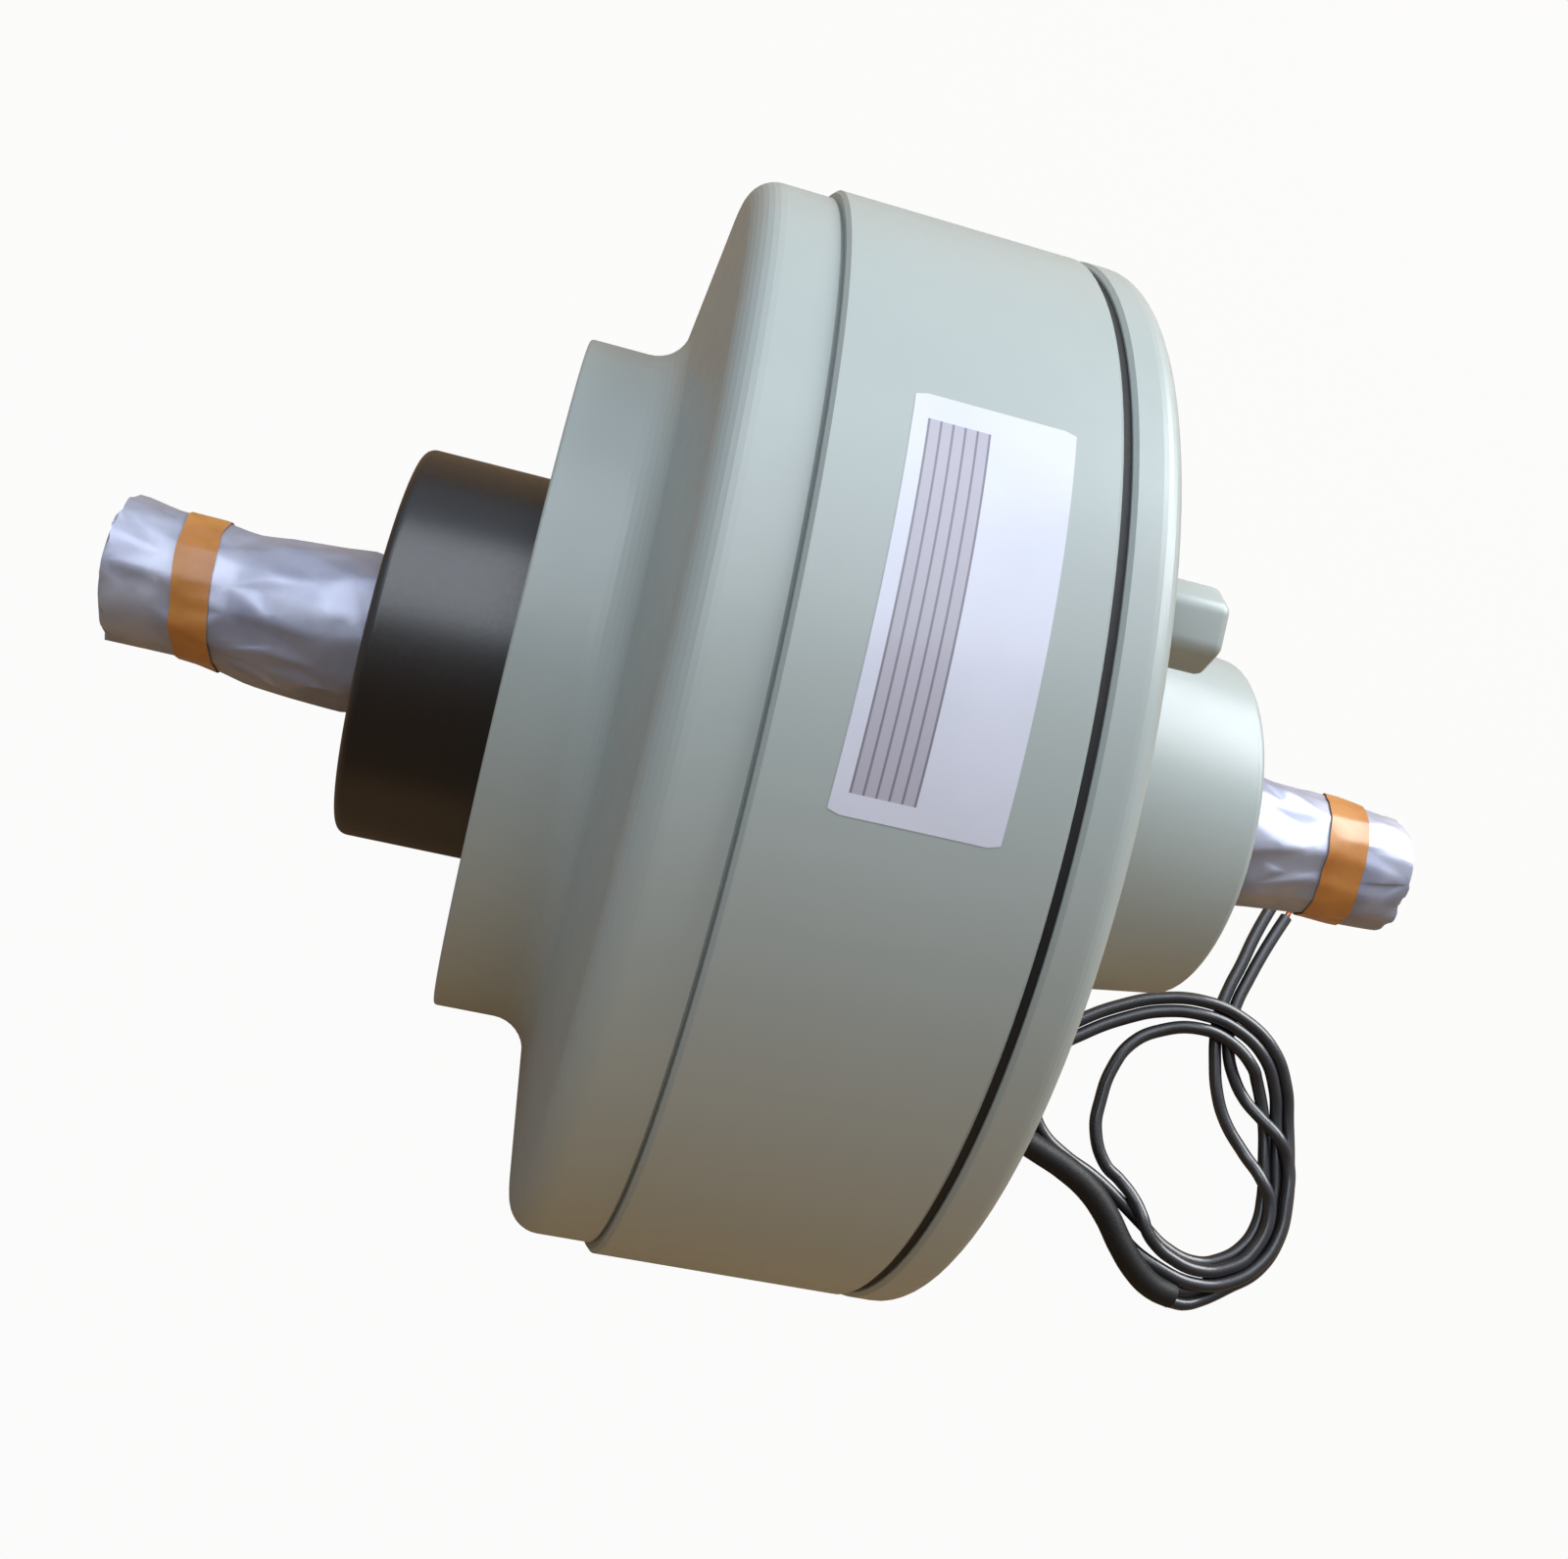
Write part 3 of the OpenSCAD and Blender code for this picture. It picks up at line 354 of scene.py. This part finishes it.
corner = max((v.co for v in nodes["filler_plug"].data.vertices), key=off_plug)
bpy.ops.object.select_all(action="DESELECT")
bpy.ops.mesh.primitive_cylinder_add(vertices=6, radius=off_plug(corner) * plug_wider,
                                    depth=plug_head)
plug = bpy.context.object
plug.name = plug.data.name = "hexagon_plug"
bpy.ops.object.mode_set(mode="EDIT")
bpy.ops.mesh.select_mode(type="FACE")
shape = bmesh.from_edit_mesh(plug.data)
for face in shape.faces:
    face.select = face.normal.z < -0.9
bmesh.update_edit_mesh(plug.data)
bpy.ops.mesh.inset(thickness=off_plug(corner) * plug_step)
bpy.ops.mesh.extrude_region_move(TRANSFORM_OT_translate={"value": (0, 0, -plug_stem)})
bpy.ops.object.mode_set(mode="OBJECT")
paint = plug.modifiers.new("paint_round", "BEVEL")
paint.width, paint.segments, paint.limit_method = plug_paint, 6, "ANGLE"
bpy.ops.object.modifier_apply(modifier=paint.name)
plug_spin = math.atan2(corner.z - plug_z, corner.y - plug_y)
plug.data.transform(Matrix.Translation((high.x - plug_long + plug_head / 2, plug_y, plug_z))
                    @ Matrix.Rotation(plug_spin, 4, "X") @ Matrix.Rotation(math.pi / 2, 4, "Y"))
bpy.ops.object.shade_smooth_by_angle(angle=math.radians(30))
dress(plug, enamel)
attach(plug, "housing")
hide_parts("filler_plug")


# ---- Bearing nose -------------------------------------------------------------------------
# A turned steel nose in black oxide, screwed in the front bracket. The fine rings of the lathe
# tool run round it, and the oxide is a little browner in places.

rings, given, out = finish_group(
    "lathe_rings",
    [("Spacing", "NodeSocketFloat", 900), ("Depth", "NodeSocketFloat", 0.00002),
     ("Normal", "NodeSocketVector", (0, 0, 0))],
    [("Normal", "NodeSocketVector"), ("Rings", "NodeSocketFloat")])
n, join = rings.nodes, rings.links.new
place, apart, along = (n.new("ShaderNodeTexCoord"), n.new("ShaderNodeSeparateXYZ"),
                       n.new("ShaderNodeCombineXYZ"))
centred = n.new("ShaderNodeMapping")
centred.inputs["Location"].default_value = (0, 0, -body_axis_z)
squares = [n.new("ShaderNodeMath") for _ in range(4)]
for node, work in zip(squares, ("MULTIPLY", "MULTIPLY", "ADD", "SQRT")):
    node.operation = work
turned, bump = n.new("ShaderNodeTexNoise"), n.new("ShaderNodeBump")
turned.inputs["Detail"].default_value = 2
join(place.outputs["Object"], centred.inputs["Vector"])
join(centred.outputs["Vector"], apart.inputs["Vector"])
for node, axis in zip(squares, ("Y", "Z")):
    join(apart.outputs[axis], node.inputs[0])
    join(apart.outputs[axis], node.inputs[1])
join(squares[0].outputs[0], squares[2].inputs[0])
join(squares[1].outputs[0], squares[2].inputs[1])
join(squares[2].outputs[0], squares[3].inputs[0])
join(apart.outputs["X"], along.inputs["X"])
join(squares[3].outputs[0], along.inputs["Y"])
join(along.outputs["Vector"], turned.inputs["Vector"])
join(given.outputs["Spacing"], turned.inputs["Scale"])
join(turned.outputs["Fac"], bump.inputs["Height"])
join(given.outputs["Depth"], bump.inputs["Distance"])
join(given.outputs["Normal"], bump.inputs["Normal"])
join(bump.outputs["Normal"], out.inputs["Normal"])
join(turned.outputs["Fac"], out.inputs["Rings"])


def turn_rings(made, spacing, depth):
    """Adds the lathe's rings to a material, on top of its own grain."""
    tree = made.node_tree
    shader = tree.nodes["Principled BSDF"]
    cut = tree.nodes.new("ShaderNodeGroup")
    cut.node_tree = rings
    cut.inputs["Spacing"].default_value = spacing
    cut.inputs["Depth"].default_value = depth * mm
    grain = shader.inputs["Normal"].links[0].from_socket
    tree.links.new(grain, cut.inputs["Normal"])
    tree.links.new(cut.outputs["Normal"], shader.inputs["Normal"])
    return made


oxide = turn_rings(material("black_oxide", (20, 19, 22), (28, 23, 22), smooth=0.26, rough=0.38,
                            drift=25, grain=1200, depth=0.01, specular=1.0), 1500, 0.012)
dress(nodes["bearing_nose"], oxide)


# ---- Seam, seals and washers --------------------------------------------------------------
# A black rubber cord lies in the open seam, and its black partly stands in for the seam's shade,
# as painted shade in the groove. The washer under the plug, the shaft seals and the grommet have
# the same black rubber.

rubber = material("black_rubber", (26, 26, 27), (36, 35, 34), smooth=0.5, rough=0.7, drift=60,
                  grain=1500, depth=0.04)
for name in ("seam_ring", "plug_washer", "input_seal", "output_seal", "lead_grommet"):
    dress(nodes[name], rubber)


# ---- Label --------------------------------------------------------------------------------
# A white film label, bent round the yoke. It is kept blank, with a plain ruled grey band where
# the lettering of the real one is. Its own middle is label_right and label_up points off the
# photograph's, so that the middle of what shows of it, on the round yoke, falls there.

label_width, label_long, label_thick = 22.4 * mm, 58 * mm, 0.15 * mm
label_lean, label_corner, label_proud = 1.4 * mm, 0.5 * mm, 0.06 * mm
label_right, label_up = 14.6, 13.8
band_left, band_right, band_low, band_high = 0.1, 0.47, 0.07, 0.95
band_lines, half_line = 6, 0.007
label_x, label_y = image_points["label"]
spot, _ = place_on([nodes["yoke"]], label_x + label_right, label_y - label_up)
label_round = math.hypot(spot.y, spot.z - body_axis_z) + label_proud
label_angle = math.atan2(spot.z - body_axis_z, spot.y)
bpy.ops.object.select_all(action="DESELECT")
bpy.ops.mesh.primitive_grid_add(x_subdivisions=14, y_subdivisions=48, size=1)
label = bpy.context.object
label.name = label.data.name = "label"
for v in label.data.vertices:
    across, down = v.co.x, v.co.y
    corner = max(abs(across) * label_width - label_width / 2 + label_corner, 0)
    pull = label_corner - math.sqrt(max(label_corner ** 2 - corner ** 2, 0))
    angle = label_angle + down * (label_long - 2 * pull) / label_round
    v.co = (spot.x + across * label_width - down * label_lean,
            label_round * math.cos(angle), body_axis_z + label_round * math.sin(angle))
film = label.modifiers.new("film", "SOLIDIFY")
film.thickness, film.offset = label_thick, 1
bpy.ops.object.modifier_apply(modifier=film.name)
bpy.ops.object.mode_set(mode="EDIT")
bpy.ops.mesh.select_all(action="SELECT")
bpy.ops.mesh.normals_make_consistent(inside=False)
bpy.ops.object.mode_set(mode="OBJECT")
bpy.ops.object.shade_smooth_by_angle(angle=math.radians(40))

film_face = material("label_film", (212, 213, 226), (204, 206, 218), smooth=0.28, rough=0.36,
                     drift=60, grain=700, depth=0.01, coat=0.2)
tree = film_face.node_tree
n, join = tree.nodes, tree.links.new
sheet, parts = n.new("ShaderNodeUVMap"), n.new("ShaderNodeSeparateXYZ")
join(sheet.outputs["UV"], parts.inputs["Vector"])


def between(axis, low, high):
    """A mask that is one from low to high along the label's width or length."""
    above, below, both = (n.new("ShaderNodeMath") for _ in range(3))
    above.operation, below.operation, both.operation = "GREATER_THAN", "LESS_THAN", "MULTIPLY"
    above.inputs[1].default_value, below.inputs[1].default_value = low, high
    join(parts.outputs[axis], above.inputs[0])
    join(parts.outputs[axis], below.inputs[0])
    join(above.outputs[0], both.inputs[0])
    join(below.outputs[0], both.inputs[1])
    return both.outputs[0]


def lay_over(under, mask, colour):
    """The colour of the label with one more printed area over it."""
    mix = n.new("ShaderNodeMix")
    mix.data_type = "RGBA"
    join(mask, mix.inputs["Factor"])
    join(under, mix.inputs[6])
    mix.inputs[7].default_value = shade(*colour)
    return mix.outputs[2]


def both(first, second):
    """A mask that is one where both of these are."""
    times = n.new("ShaderNodeMath")
    times.operation = "MULTIPLY"
    join(first, times.inputs[0])
    join(second, times.inputs[1])
    return times.outputs[0]


face = n["Principled BSDF"].inputs["Base Color"].links[0].from_socket
long_way = between("Y", band_low, band_high)
face = lay_over(face, both(between("X", band_left, band_right), long_way), (176, 172, 184))
for line in range(band_lines):
    at = band_left + line * (band_right - band_left) / (band_lines - 1)
    face = lay_over(face, both(between("X", at - half_line, at + half_line), long_way),
                    (128, 124, 134))
join(face, n["Principled BSDF"].inputs["Base Color"])
dress(label, film_face)
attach(label, "housing")


# ---- Foil wraps ---------------------------------------------------------------------------
# Each shaft end is wrapped for transport in thin silvered film, pressed on by hand, so it lies
# in flat facets with sharp creases. It is closed over the shaft's end and wider at the body. A
# shape lists how far the film stands off the shaft, in millimetres, by share of its length.

shaft_radius = 10
foil_sheet, foil_clear, fold_join = 0.12 * mm, 0.25 * mm, 0.02 * mm
shaft_round, tube_round, end_step = 10.1 * mm, 11 * mm, 1.8 * mm
tube_sides, tube_cuts, end_rings, facet_share = 72, 48, 5, 0.04
end_share, covers_shaft, bend_share = 0.02, 0.012, 0.6
foil_finish = material("silvered_film", (202, 204, 218), (160, 164, 188), metal=0.62,
                       smooth=0.4, rough=0.54, drift=70, grain=300, depth=0.012)


def wrap_round(share, shape):
    """The film's radius at a share of its length from the tip."""
    for (a, low), (b, high) in zip(shape, shape[1:]):
        if share <= b:
            part = (share - a) / (b - a)
            return (shaft_radius + low + (high - low) * max(part, 0)) * mm
    return (shaft_radius + shape[-1][1]) * mm


def wrap_shaft(name, node, body, inward, shape, seed, rough, bend):
    """One wrap: a tube of the film's profile, crumpled, cut to facets and given its sheet."""
    low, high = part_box(node)
    long = high.x - low.x
    tip_x = low.x if inward > 0 else high.x
    bpy.ops.object.select_all(action="DESELECT")
    bpy.ops.mesh.primitive_cylinder_add(vertices=tube_sides, radius=tube_round, depth=long,
                                        end_fill_type="NGON")
    wrap = bpy.context.object
    wrap.name = wrap.data.name = name
    bpy.ops.object.mode_set(mode="EDIT")
    shape_now = bmesh.from_edit_mesh(wrap.data)
    for face in shape_now.faces:
        face.select = False
    for edge in shape_now.edges:
        edge.select = abs(edge.verts[0].co.z - edge.verts[1].co.z) > long / 2
    bmesh.update_edit_mesh(wrap.data)
    bpy.ops.mesh.subdivide(number_cuts=tube_cuts)
    bpy.ops.mesh.select_all(action="DESELECT")
    bpy.ops.mesh.select_mode(type="FACE")
    shape_now = bmesh.from_edit_mesh(wrap.data)
    for face in shape_now.faces:
        face.select = face.normal.z > 0.9
    bmesh.update_edit_mesh(wrap.data)
    bpy.ops.mesh.delete(type="FACE")
    shape_now = bmesh.from_edit_mesh(wrap.data)
    for face in shape_now.faces:
        face.select = face.normal.z < -0.9
    bmesh.update_edit_mesh(wrap.data)
    for _ in range(end_rings):
        bpy.ops.mesh.inset(thickness=end_step)
    bpy.ops.mesh.poke()
    bpy.ops.mesh.select_all(action="SELECT")
    bpy.ops.mesh.quads_convert_to_tris()
    bpy.ops.object.mode_set(mode="OBJECT")
    for v in wrap.data.vertices:
        share = (v.co.z + long / 2) / long
        flat = math.hypot(v.co.x, v.co.y)
        around = math.atan2(v.co.y, v.co.x)
        side = flat / tube_round
        x = tip_x + inward * share * long
        spot = Vector((math.cos(around) * 3, math.sin(around) * 3, share * 4.5)) + seed
        dent = (noise.noise(spot * 0.8) * 0.8 + noise.noise(spot * 1.9) * 0.6) * rough
        radius = wrap_round(share, shape) + dent * mm
        if share < end_share and side < 0.97:
            radius = max(wrap_round(end_share, shape), radius) * side
            x += inward * (0.45 + 0.35 * noise.noise(spot * 3 + Vector((side * 3, 0, 0)))) * mm \
                * min(1, (1 - side) * 4)
        lift = bend * max(0, 1 - share / bend_share) ** 1.5
        v.co = (x, lift + radius * math.cos(around), body_axis_z + radius * math.sin(around))
    facets = wrap.modifiers.new("facets", "DECIMATE")
    facets.ratio = facet_share
    bpy.ops.object.modifier_apply(modifier=facets.name)
    sharp = wrap.data.attributes.new("crease_edge", "FLOAT", "EDGE")
    for edge, held in zip(wrap.data.edges, sharp.data):
        middle = sum((wrap.data.vertices[i].co for i in edge.vertices), Vector()) / 2
        held.value = 0.45 + 0.5 * noise.noise(middle * 400 + seed)
    fold = wrap.modifiers.new("fold", "SUBSURF")
    fold.levels = fold.render_levels = 2
    bpy.ops.object.modifier_apply(modifier=fold.name)
    ends = [v.co.x for v in wrap.data.vertices]
    stretch = long / (max(ends) - min(ends))
    for v in wrap.data.vertices:
        v.co.x = low.x + (v.co.x - min(ends)) * stretch
        out = Vector((0, v.co.y, v.co.z - body_axis_z))
        share = abs(v.co.x - tip_x) / long
        if share > covers_shaft and out.length < shaft_round + foil_clear:
            out = out.normalized() * (shaft_round + foil_clear)
            v.co.y, v.co.z = out.y, body_axis_z + out.z
    bpy.ops.object.mode_set(mode="EDIT")
    bpy.ops.mesh.select_all(action="SELECT")
    bpy.ops.mesh.remove_doubles(threshold=fold_join)
    bpy.ops.mesh.normals_make_consistent(inside=False)
    bpy.ops.object.mode_set(mode="OBJECT")
    film = wrap.modifiers.new("sheet", "SOLIDIFY")
    film.thickness, film.offset = foil_sheet, -1
    bpy.ops.object.modifier_apply(modifier=film.name)
    bpy.ops.object.shade_smooth_by_angle(angle=math.radians(28))
    dress(wrap, foil_finish)
    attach(wrap, body)
    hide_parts(node)
    return wrap


input_shape = [(0.02, 1.6), (0.06, 1.3), (0.2, 1.2), (0.28, 1.6), (0.46, 1.8), (0.6, 2.6),
               (0.8, 3.3), (0.93, 3.6), (1, 3.2)]
output_shape = [(0.02, 0.6), (0.1, 0.9), (0.4, 1.1), (0.55, 1.7), (0.7, 2.4), (0.94, 3.1),
                (1, 2.8)]
input_wrap = wrap_shaft("input_film", "input_foil", "input_side", 1, input_shape,
                        Vector((4, 1, 7)), 1.0, 3.2 * mm)
output_wrap = wrap_shaft("output_film", "output_foil", "output_side", -1, output_shape,
                         Vector((9, 3, 2)), 0.9, -0.9 * mm)


# ---- Orange tape --------------------------------------------------------------------------
# Orange adhesive tape holds each wrap. It follows the film's facets, and it was put on a little
# out of square. Each band starts as a wide ring and is drawn in on to its wrap.

tape_thick, tape_gap, tape_lift = 0.14 * mm, 0.1 * mm, 0.15 * mm
tape_ring, tape_waver = 16 * mm, 0.25 * mm
tape_finish = material("orange_tape", (200, 138, 72), (172, 108, 50), smooth=0.3, rough=0.4,
                       drift=90, grain=600, depth=0.05, coat=0.3, coat_rough=0.2)


def tape_round(name, node, body, wrap, width, aside, lean, turn):
    """One band of tape on its wrap: aside moves it along, lean and turn tilt it."""
    low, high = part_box(node)
    middle = (low.x + high.x) / 2 + aside
    bpy.ops.object.select_all(action="DESELECT")
    bpy.ops.mesh.primitive_cylinder_add(vertices=120, radius=tape_ring, depth=width,
                                        end_fill_type="NOTHING")
    band = bpy.context.object
    band.name = band.data.name = name
    bpy.ops.object.mode_set(mode="EDIT")
    shape_now = bmesh.from_edit_mesh(band.data)
    for edge in shape_now.edges:
        edge.select = abs(edge.verts[0].co.z - edge.verts[1].co.z) > width / 2
    bmesh.update_edit_mesh(band.data)
    bpy.ops.mesh.subdivide(number_cuts=5)
    bpy.ops.object.mode_set(mode="OBJECT")
    for v in band.data.vertices:
        around = math.atan2(v.co.y, v.co.x)
        x = middle + v.co.z + lean * math.cos(around - turn)
        x += tape_waver * noise.noise(Vector((around * 2, v.co.z / mm, 5)))
        v.co = (x, tape_ring * math.cos(around), body_axis_z + tape_ring * math.sin(around))
    press = band.modifiers.new("press", "SHRINKWRAP")
    press.target, press.wrap_method = wrap, "PROJECT"
    press.use_negative_direction, press.use_positive_direction = True, False
    press.wrap_mode, press.offset = "ABOVE_SURFACE", tape_gap
    bpy.ops.object.modifier_apply(modifier=press.name)
    ease = band.modifiers.new("ease", "SMOOTH")
    ease.factor, ease.iterations = 0.5, 2
    bpy.ops.object.modifier_apply(modifier=ease.name)
    for v in band.data.vertices:
        out = Vector((0, v.co.y, v.co.z - body_axis_z))
        out = out.normalized() * (out.length + tape_lift)
        v.co.y, v.co.z = out.y, body_axis_z + out.z
    body_of_tape = band.modifiers.new("tape", "SOLIDIFY")
    body_of_tape.thickness, body_of_tape.offset = tape_thick, 1
    bpy.ops.object.modifier_apply(modifier=body_of_tape.name)
    bpy.ops.object.shade_smooth_by_angle(angle=math.radians(35))
    dress(band, tape_finish)
    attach(band, body)
    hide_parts(node)
    return band


input_band = tape_round("input_tape_band", "input_tape", "input_side", input_wrap, 6.5 * mm,
                        -1.6 * mm, -1.6 * mm, 0.2)
output_band = tape_round("output_tape_band", "output_tape", "output_side", output_wrap,
                         8.4 * mm, -1.3 * mm, -2.6 * mm, 1.9)


# ---- Shafts, bearings and clips -----------------------------------------------------------
# Ground and turned steel: both shafts with their keyways, the ball bearings on them, the
# spacers between, and the retaining rings. They are oiled, and show only where film is off.

ground = turn_rings(material("ground_steel", (176, 178, 182), (160, 162, 166), metal=1.0,
                             smooth=0.2, rough=0.34, drift=40, grain=1500, depth=0.008),
                    2600, 0.006)
for name in ("input_shaft", "output_shaft", "input_spacer", "output_spacer", "rotor_key",
             "input_bearing_outers", "input_bearing_inners", "input_bearing_balls",
             "output_bearing_outers", "output_bearing_inners", "output_bearing_balls",
             "pilot_outer", "pilot_inner", "pilot_balls"):
    dress(nodes[name], ground)

spring = material("blued_spring_steel", (64, 66, 74), (48, 48, 54), metal=1.0, smooth=0.28,
                  rough=0.44, drift=80, grain=1200, depth=0.015)
for name in ("nose_clip", "rear_clip", "input_shaft_clip", "output_shaft_clip", "rotor_clip"):
    dress(nodes[name], spring)


# ---- Screws -------------------------------------------------------------------------------
# Black socket-head screws: six through the rear cover, four in the nose, and those that hold
# the end plate of the drum.

screw_black = material("black_screw_steel", (50, 49, 50), (64, 60, 58), metal=0.9, smooth=0.34,
                       rough=0.5, drift=120, grain=1100, depth=0.02)
for name in ("tie_bolts", "nose_screws", "drive_screws"):
    dress(nodes[name], screw_black)


# ---- Magnetic parts -----------------------------------------------------------------------
# The pole ring, drum, end plate and rotor are bare soft iron, turned all over. The powder
# between drum and rotor is a fine dark grey grain.

iron = turn_rings(material("soft_iron", (138, 138, 140), (118, 116, 116), metal=1.0, smooth=0.36,
                           rough=0.52, drift=30, grain=900, depth=0.015), 1300, 0.015)
for name in ("pole_ring", "drive_cylinder", "drive_end_plate", "driven_rotor"):
    dress(nodes[name], iron)
dress(nodes["powder_ring"], material("iron_powder", (72, 70, 70), (50, 49, 50), metal=0.5,
                                     smooth=0.7, rough=0.9, drift=400, grain=2600, depth=0.15))


# ---- Field coil ---------------------------------------------------------------------------
# Enamelled copper wire, wound in layers on a moulded bobbin of dark nylon.

wire = turn_rings(material("enamelled_copper", (150, 74, 40), (126, 56, 30), metal=0.85,
                           smooth=0.22, rough=0.38, drift=200, grain=900, depth=0.01,
                           coat=0.5), 1100, 0.2)
dress(nodes["coil_winding"], wire)
dress(nodes["coil_bobbin"], material("bobbin_nylon", (52, 50, 48), (62, 58, 54), smooth=0.42,
                                     rough=0.56, drift=50, grain=800, depth=0.03))


# ---- Floor and light ----------------------------------------------------------------------
# A plain table that the camera sees as white and the clutch as brown, because the photograph is
# cut out on white and the real body reflected a brown bench. The window lamp is behind at the
# right, the sky lamp overhead, and the weak bench lamp low in front warms the body's lower half.
# The nose's lower half is black in the photograph, so the bench lamp isn't seen in reflections.

bench_brown, seen_white = (0.27, 0.165, 0.075, 1), 0.96

bpy.ops.object.select_all(action="DESELECT")
bpy.ops.mesh.primitive_plane_add(size=6, location=(0, 0, -0.1 * mm))
table = bpy.context.object
table.name = "table"
table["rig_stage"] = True
top = bpy.data.materials.new("table_top")
top.use_nodes = True
n, join = top.node_tree.nodes, top.node_tree.links.new
n["Principled BSDF"].inputs["Base Color"].default_value = bench_brown
n["Principled BSDF"].inputs["Roughness"].default_value = 0.8
path, share, lit, mix = (n.new("ShaderNodeLightPath"), n.new("ShaderNodeMath"),
                         n.new("ShaderNodeEmission"), n.new("ShaderNodeMixShader"))
lit.inputs["Color"].default_value = (1, 1, 1, 1)
share.operation = "MULTIPLY"
share.inputs[1].default_value = seen_white
join(path.outputs["Is Camera Ray"], share.inputs[0])
join(share.outputs[0], mix.inputs["Fac"])
join(n["Principled BSDF"].outputs["BSDF"], mix.inputs[1])
join(lit.outputs["Emission"], mix.inputs[2])
join(mix.outputs["Shader"], n["Material Output"].inputs["Surface"])
table.data.materials.append(top)

world = bpy.data.worlds.new("studio")
bpy.context.scene.world = world
world.use_nodes = True
n, join = world.node_tree.nodes, world.node_tree.links.new
soft_sky = n["Background"]
soft_sky.inputs["Strength"].default_value = 0.5
toward, parts, fade, tint = (n.new("ShaderNodeTexCoord"), n.new("ShaderNodeSeparateXYZ"),
                             n.new("ShaderNodeMapRange"), n.new("ShaderNodeMix"))
fade.interpolation_type, tint.data_type = "SMOOTHSTEP", "RGBA"
fade.inputs["From Min"].default_value, fade.inputs["From Max"].default_value = -0.75, 0.35
tint.inputs[6].default_value = (0.2, 0.14, 0.08, 1)
tint.inputs[7].default_value = (0.78, 0.87, 1, 1)
join(toward.outputs["Generated"], parts.inputs["Vector"])
join(parts.outputs["Y"], fade.inputs["Value"])
join(fade.outputs["Result"], tint.inputs["Factor"])
join(tint.outputs[2], soft_sky.inputs["Color"])
backdrop, path, mix = (n.new("ShaderNodeBackground"), n.new("ShaderNodeLightPath"),
                       n.new("ShaderNodeMixShader"))
backdrop.inputs["Color"].default_value = (1, 1, 1, 1)
join(path.outputs["Is Camera Ray"], mix.inputs["Fac"])
join(soft_sky.outputs["Background"], mix.inputs[1])
join(backdrop.outputs["Background"], mix.inputs[2])
join(mix.outputs["Shader"], n["World Output"].inputs["Surface"])


def soft_lamp(name, place, aim, wide, power, colour):
    """A square studio lamp at a place, turned to what it lights."""
    lamp = bpy.data.lights.new(name, "AREA")
    lamp.size, lamp.energy, lamp.color = wide, power, colour
    held = bpy.data.objects.new(name, lamp)
    bpy.context.scene.collection.objects.link(held)
    held.location = place
    held.rotation_euler = (Vector(aim) - Vector(place)).to_track_quat("-Z", "Y").to_euler()
    return held


soft_lamp("window", (0.7, 0.65, 0.5), (0, 0, 0.08), 0.7, 13.2, (0.95, 0.98, 1))
soft_lamp("sky", (-0.16, 0.42, 0.92), (-0.03, 0, 0.1), 0.9, 6, (0.86, 0.92, 1))
bench = soft_lamp("bench", (0.1, -0.6, 0.1), (0, 0, 0.06), 0.5, 1.1, (1, 0.7, 0.4))
bench.visible_glossy = False

bpy.context.scene.view_settings.view_transform = "Standard"


# ---- Image points -------------------------------------------------------------------------
# Where the camera shows what each point of the photograph marks, on the finished pieces. The
# nose's bottom is read at its front end, left of nose_read.

edge_step = 1.5 * mm
nose_read = 380


def showing(pieces):
    """The places on these pieces' finished edges that the camera sees, as its points."""
    ready = bpy.context.evaluated_depsgraph_get()
    eye = camera.matrix_world.translation
    found = []
    for piece in pieces:
        shape = piece.evaluated_get(ready)
        mesh = shape.to_mesh()
        places = [v.co.copy() for v in mesh.vertices]
        for edge in mesh.edges:
            a, b = (mesh.vertices[i].co for i in edge.vertices)
            cuts = int((b - a).length / edge_step)
            places += [a.lerp(b, k / cuts) for k in range(1, cuts)]
        shape.to_mesh_clear()
        for place in places:
            way = piece.matrix_world @ place - eye
            hit = in_view.ray_cast(eye, way.normalized(), way.length - 0.4 * mm)
            if hit[0] is None:
                found.append(seen_at(piece.matrix_world @ place))
    return found


bpy.context.view_layer.update()
shown = [o for o in bpy.context.scene.objects
         if o.type in ("MESH", "CURVE") and not o.hide_render and not o.get("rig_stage")]
in_view, _ = finished_tree(shown)
outer = [nodes[k] for k in ("front_bracket", "yoke", "rear_bracket", "bearing_nose")]
whole = showing(outer + [input_wrap, output_wrap, plug])
nose, boss = showing([nodes["bearing_nose"]]), showing([nodes["front_bracket"]])
seam, rear = showing([nodes["seam_ring"]]), showing([nodes["rear_bracket"]])


def middle(points):
    """The middle of what shows of a piece."""
    across, down = [p[0] for p in points], [p[1] for p in points]
    return (min(across) + max(across)) / 2, (min(down) + max(down)) / 2


actual = {
    "part_left": (min(p[0] for p in whole), None),
    "part_right": (max(p[0] for p in whole), None),
    "part_top": (None, min(p[1] for p in whole)),
    "part_bottom": (None, max(p[1] for p in whole)),
    "nose_left": (min(p[0] for p in nose), None),
    "nose_bottom": (None, max(p[1] for p in nose if p[0] < nose_read)),
    "front_boss_left": (min(p[0] for p in boss), None),
    "rear_boss_right": (max(p[0] for p in rear), None),
    "seam_right": (max(p[0] for p in seam), None),
    "seam_bottom": (None, max(p[1] for p in seam)),
    "plug": middle(showing([plug])),
    "label": middle(showing([label])),
    "input_tape": middle(showing([input_band])),
    "output_tape": middle(showing([output_band])),
}
